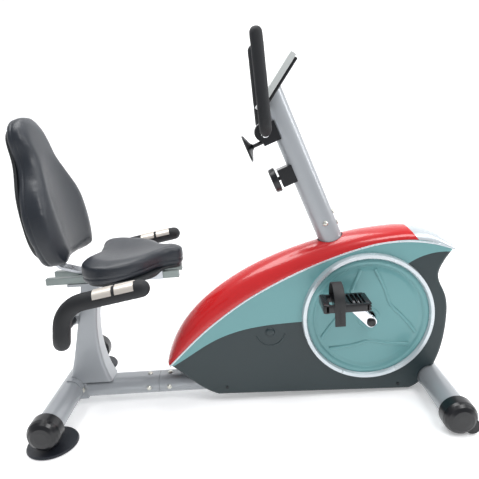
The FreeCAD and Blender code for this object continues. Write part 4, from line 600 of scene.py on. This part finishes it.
def moulded_pedal(side, sign):
    low, high = (Vector(c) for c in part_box(f"pedal_{side}"))
    bm = bmesh.new()
    ease = 0.003
    bar(bm, (low.x, low.y, low.z), (low.x + 0.020, high.y, high.z), 0.005, 3)
    bar(bm, (high.x - 0.016, low.y, low.z + 0.003), (high.x - 0.004, high.y, high.z - 0.003), ease)
    for number in range(3):
        z = low.z + 0.0035 + 0.0085 * number
        bar(bm, (high.x - 0.012, low.y + 0.004, z), (high.x, high.y - 0.004, z + 0.005), 0.0016)
    for y in (low.y, high.y - 0.011):
        bar(bm, (low.x + 0.006, y, low.z + 0.002), (high.x - 0.006, y + 0.011, high.z - 0.002), ease)
    centre = (low + high) / 2
    for step in (-0.030, -0.017, 0.030, 0.017, 0.043):
        bar(bm, (centre.x + step - 0.002, low.y + 0.006, low.z + 0.003),
            (centre.x + step + 0.002, high.y - 0.006, high.z - 0.0005), 0.0008)
    bar(bm, (centre.x - 0.012, low.y + 0.002, centre.z - 0.011),
        (centre.x + 0.012, high.y - 0.002, centre.z + 0.011), 0.005, 3)
    for x in (low.x + 0.004, low.x + 0.010, low.x + 0.016):
        for number in range(7):
            y = low.y + 0.010 + number * (high.y - low.y - 0.020) / 7
            bar(bm, (x - 0.0015, y, high.z - 0.001), (x + 0.0015, y + 0.008, high.z + 0.0012), 0.0004, 1)
    return piece(f"moulded_pedal_{side}", bm, "black_plastic", f"{side}_pedal", f"pedal_{side}")


for side, sign in SIDES:
    moulded_pedal(side, sign)

# %% [markdown]
# ## Pedal straps
# A flexible band arches over the shoe. Its section is a thin rounded rectangle that is spun half a
# turn round the foot's line, then its two ends are carried straight down. The outer end hangs
# below the pedal and carries a short row of raised eyelets.


# %% Bend the straps
EYELET = [(0.0018, -0.0002), (0.0022, 0.0006), (0.0034, 0.0006), (0.0038, -0.0002)]


def strap(side, sign):
    low, high = (Vector(c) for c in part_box(f"pedal_strap_{side}"))
    pedal_low, pedal_high = (Vector(c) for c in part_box(f"pedal_{side}"))
    thick = 0.003
    width = high.x - low.x
    centre_y = (low.y + high.y) / 2
    radius = (high.y - low.y) / 2
    spring_z = high.z - radius
    bm = bmesh.new()
    outer = low.y if sign < 0 else high.y
    section = [(0.0, 0.0), (width, 0.0), (width, thick), (0.0, thick)]
    ring = [bm.verts.new((low.x + along, outer - sign * deep, spring_z)) for along, deep in section]
    face = bm.faces.new(ring)
    made = bmesh.ops.spin(bm, geom=[face], cent=(0, centre_y, spring_z), axis=(1, 0, 0),
                          angle=math.pi * sign, steps=28)
    for face_end, bottom in ((face, low.z), (None, pedal_low.z)):
        if face_end is None:
            face_end = [g for g in made["geom_last"] if isinstance(g, bmesh.types.BMFace)][0]
        out = bmesh.ops.extrude_face_region(bm, geom=[face_end])
        tip = [g for g in out["geom"] if isinstance(g, bmesh.types.BMVert)]
        bmesh.ops.translate(bm, verts=tip, vec=(0, 0, bottom - spring_z))
        bmesh.ops.delete(bm, geom=[face_end], context="FACES_ONLY")
    bmesh.ops.remove_doubles(bm, verts=bm.verts, dist=0.00001)
    bmesh.ops.recalc_face_normals(bm, faces=bm.faces)
    long_edges = [e for e in bm.edges if e.calc_face_angle(0) > 1.2]
    bmesh.ops.bevel(bm, geom=long_edges, offset=0.0009, segments=2, profile=0.5, affect="EDGES", material=-1)
    made = piece(f"strap_band_{side}", bm, "belt_rubber", f"{side}_pedal", f"pedal_strap_{side}")
    studs = bmesh.new()
    for number in range(4):
        spot = Vector((low.x + width / 2, outer + sign * -0.0002, low.z + 0.012 + 0.011 * number))
        lathe(studs, EYELET, spot, toward=sign, steps=16)
    piece(f"strap_eyelets_{side}", studs, "belt_rubber", f"{side}_pedal")
    return made


for side, sign in SIDES:
    strap(side, sign)

# %% [markdown]
# ## Eased mouldings
# The console, the tension box, the clamp and the rails are hard-edged in CAD. Each gets a bevelled
# stand-in, which is what a mould's corner radius looks like.


# %% Ease the hard CAD edges
def eased(name, node, slot, body, width, segments=3):
    """A bevelled stand-in for a hard-edged CAD node."""
    bm = copied(node)
    bmesh.ops.dissolve_limit(bm, angle_limit=0.02, verts=bm.verts, edges=bm.edges)
    made = piece(name, bm, slot, body, node)
    ease = made.modifiers.new("ease", "BEVEL")
    ease.width = width
    ease.segments = segments
    ease.limit_method = "ANGLE"
    ease.angle_limit = math.radians(40)
    ease.harden_normals = True
    return made


eased("console_housing", "console_front", "console_grey", "frame", 0.0018)
eased("console_rear_shell", "console_back", "black_plastic", "frame", 0.003)
eased("tension_box", "tension_housing", "black_plastic", "frame", 0.004)
eased("bar_clamp_moulding", "bar_clamp", "black_plastic", "frame", 0.0025)
eased("side_rails", "seat_rails", "rail_grey", "frame", 0.0015)

# %% [markdown]
# ## Studio sweep
# The stage is one sheet of pale paper: flat under the bike, then curving up behind it, so there is
# no line where a floor would meet a wall. Its upper part glows faintly, as a lit backdrop does.

# %% Hang the sweep
SWEEP_FLAT, SWEEP_CURVE, SWEEP_TOP = 1.3, 1.6, 7.0
profile = [(-7.0, 0.0), (SWEEP_FLAT, 0.0)]
for step in range(1, 25):
    angle = math.pi / 2 * step / 24
    profile.append((SWEEP_FLAT + SWEEP_CURVE * math.sin(angle), SWEEP_CURVE * (1 - math.cos(angle))))
profile.append((SWEEP_FLAT + SWEEP_CURVE, SWEEP_TOP))
sweep_bm = bmesh.new()
rows = [[sweep_bm.verts.new((x, y, z)) for y, z in profile] for x in (-9, 9)]
for index in range(len(profile) - 1):
    sweep_bm.faces.new((rows[0][index], rows[1][index], rows[1][index + 1], rows[0][index + 1]))
sweep_mesh = bpy.data.meshes.new("sweep")
sweep_bm.to_mesh(sweep_mesh)
sweep_bm.free()
sweep_mesh.shade_smooth()
sweep = bpy.data.objects.new("sweep", sweep_mesh)
bpy.context.scene.collection.objects.link(sweep)
paper = finish("studio paper", (0.93, 0.93, 0.93), 0.8, 0, 0, 60, 0.00002, 0.01)
paper.node_tree.nodes["Principled BSDF"].inputs["Emission Color"].default_value = (1, 1, 1, 1)
paper.node_tree.nodes["Principled BSDF"].inputs["Emission Strength"].default_value = 0.30
sweep_mesh.materials.append(paper)
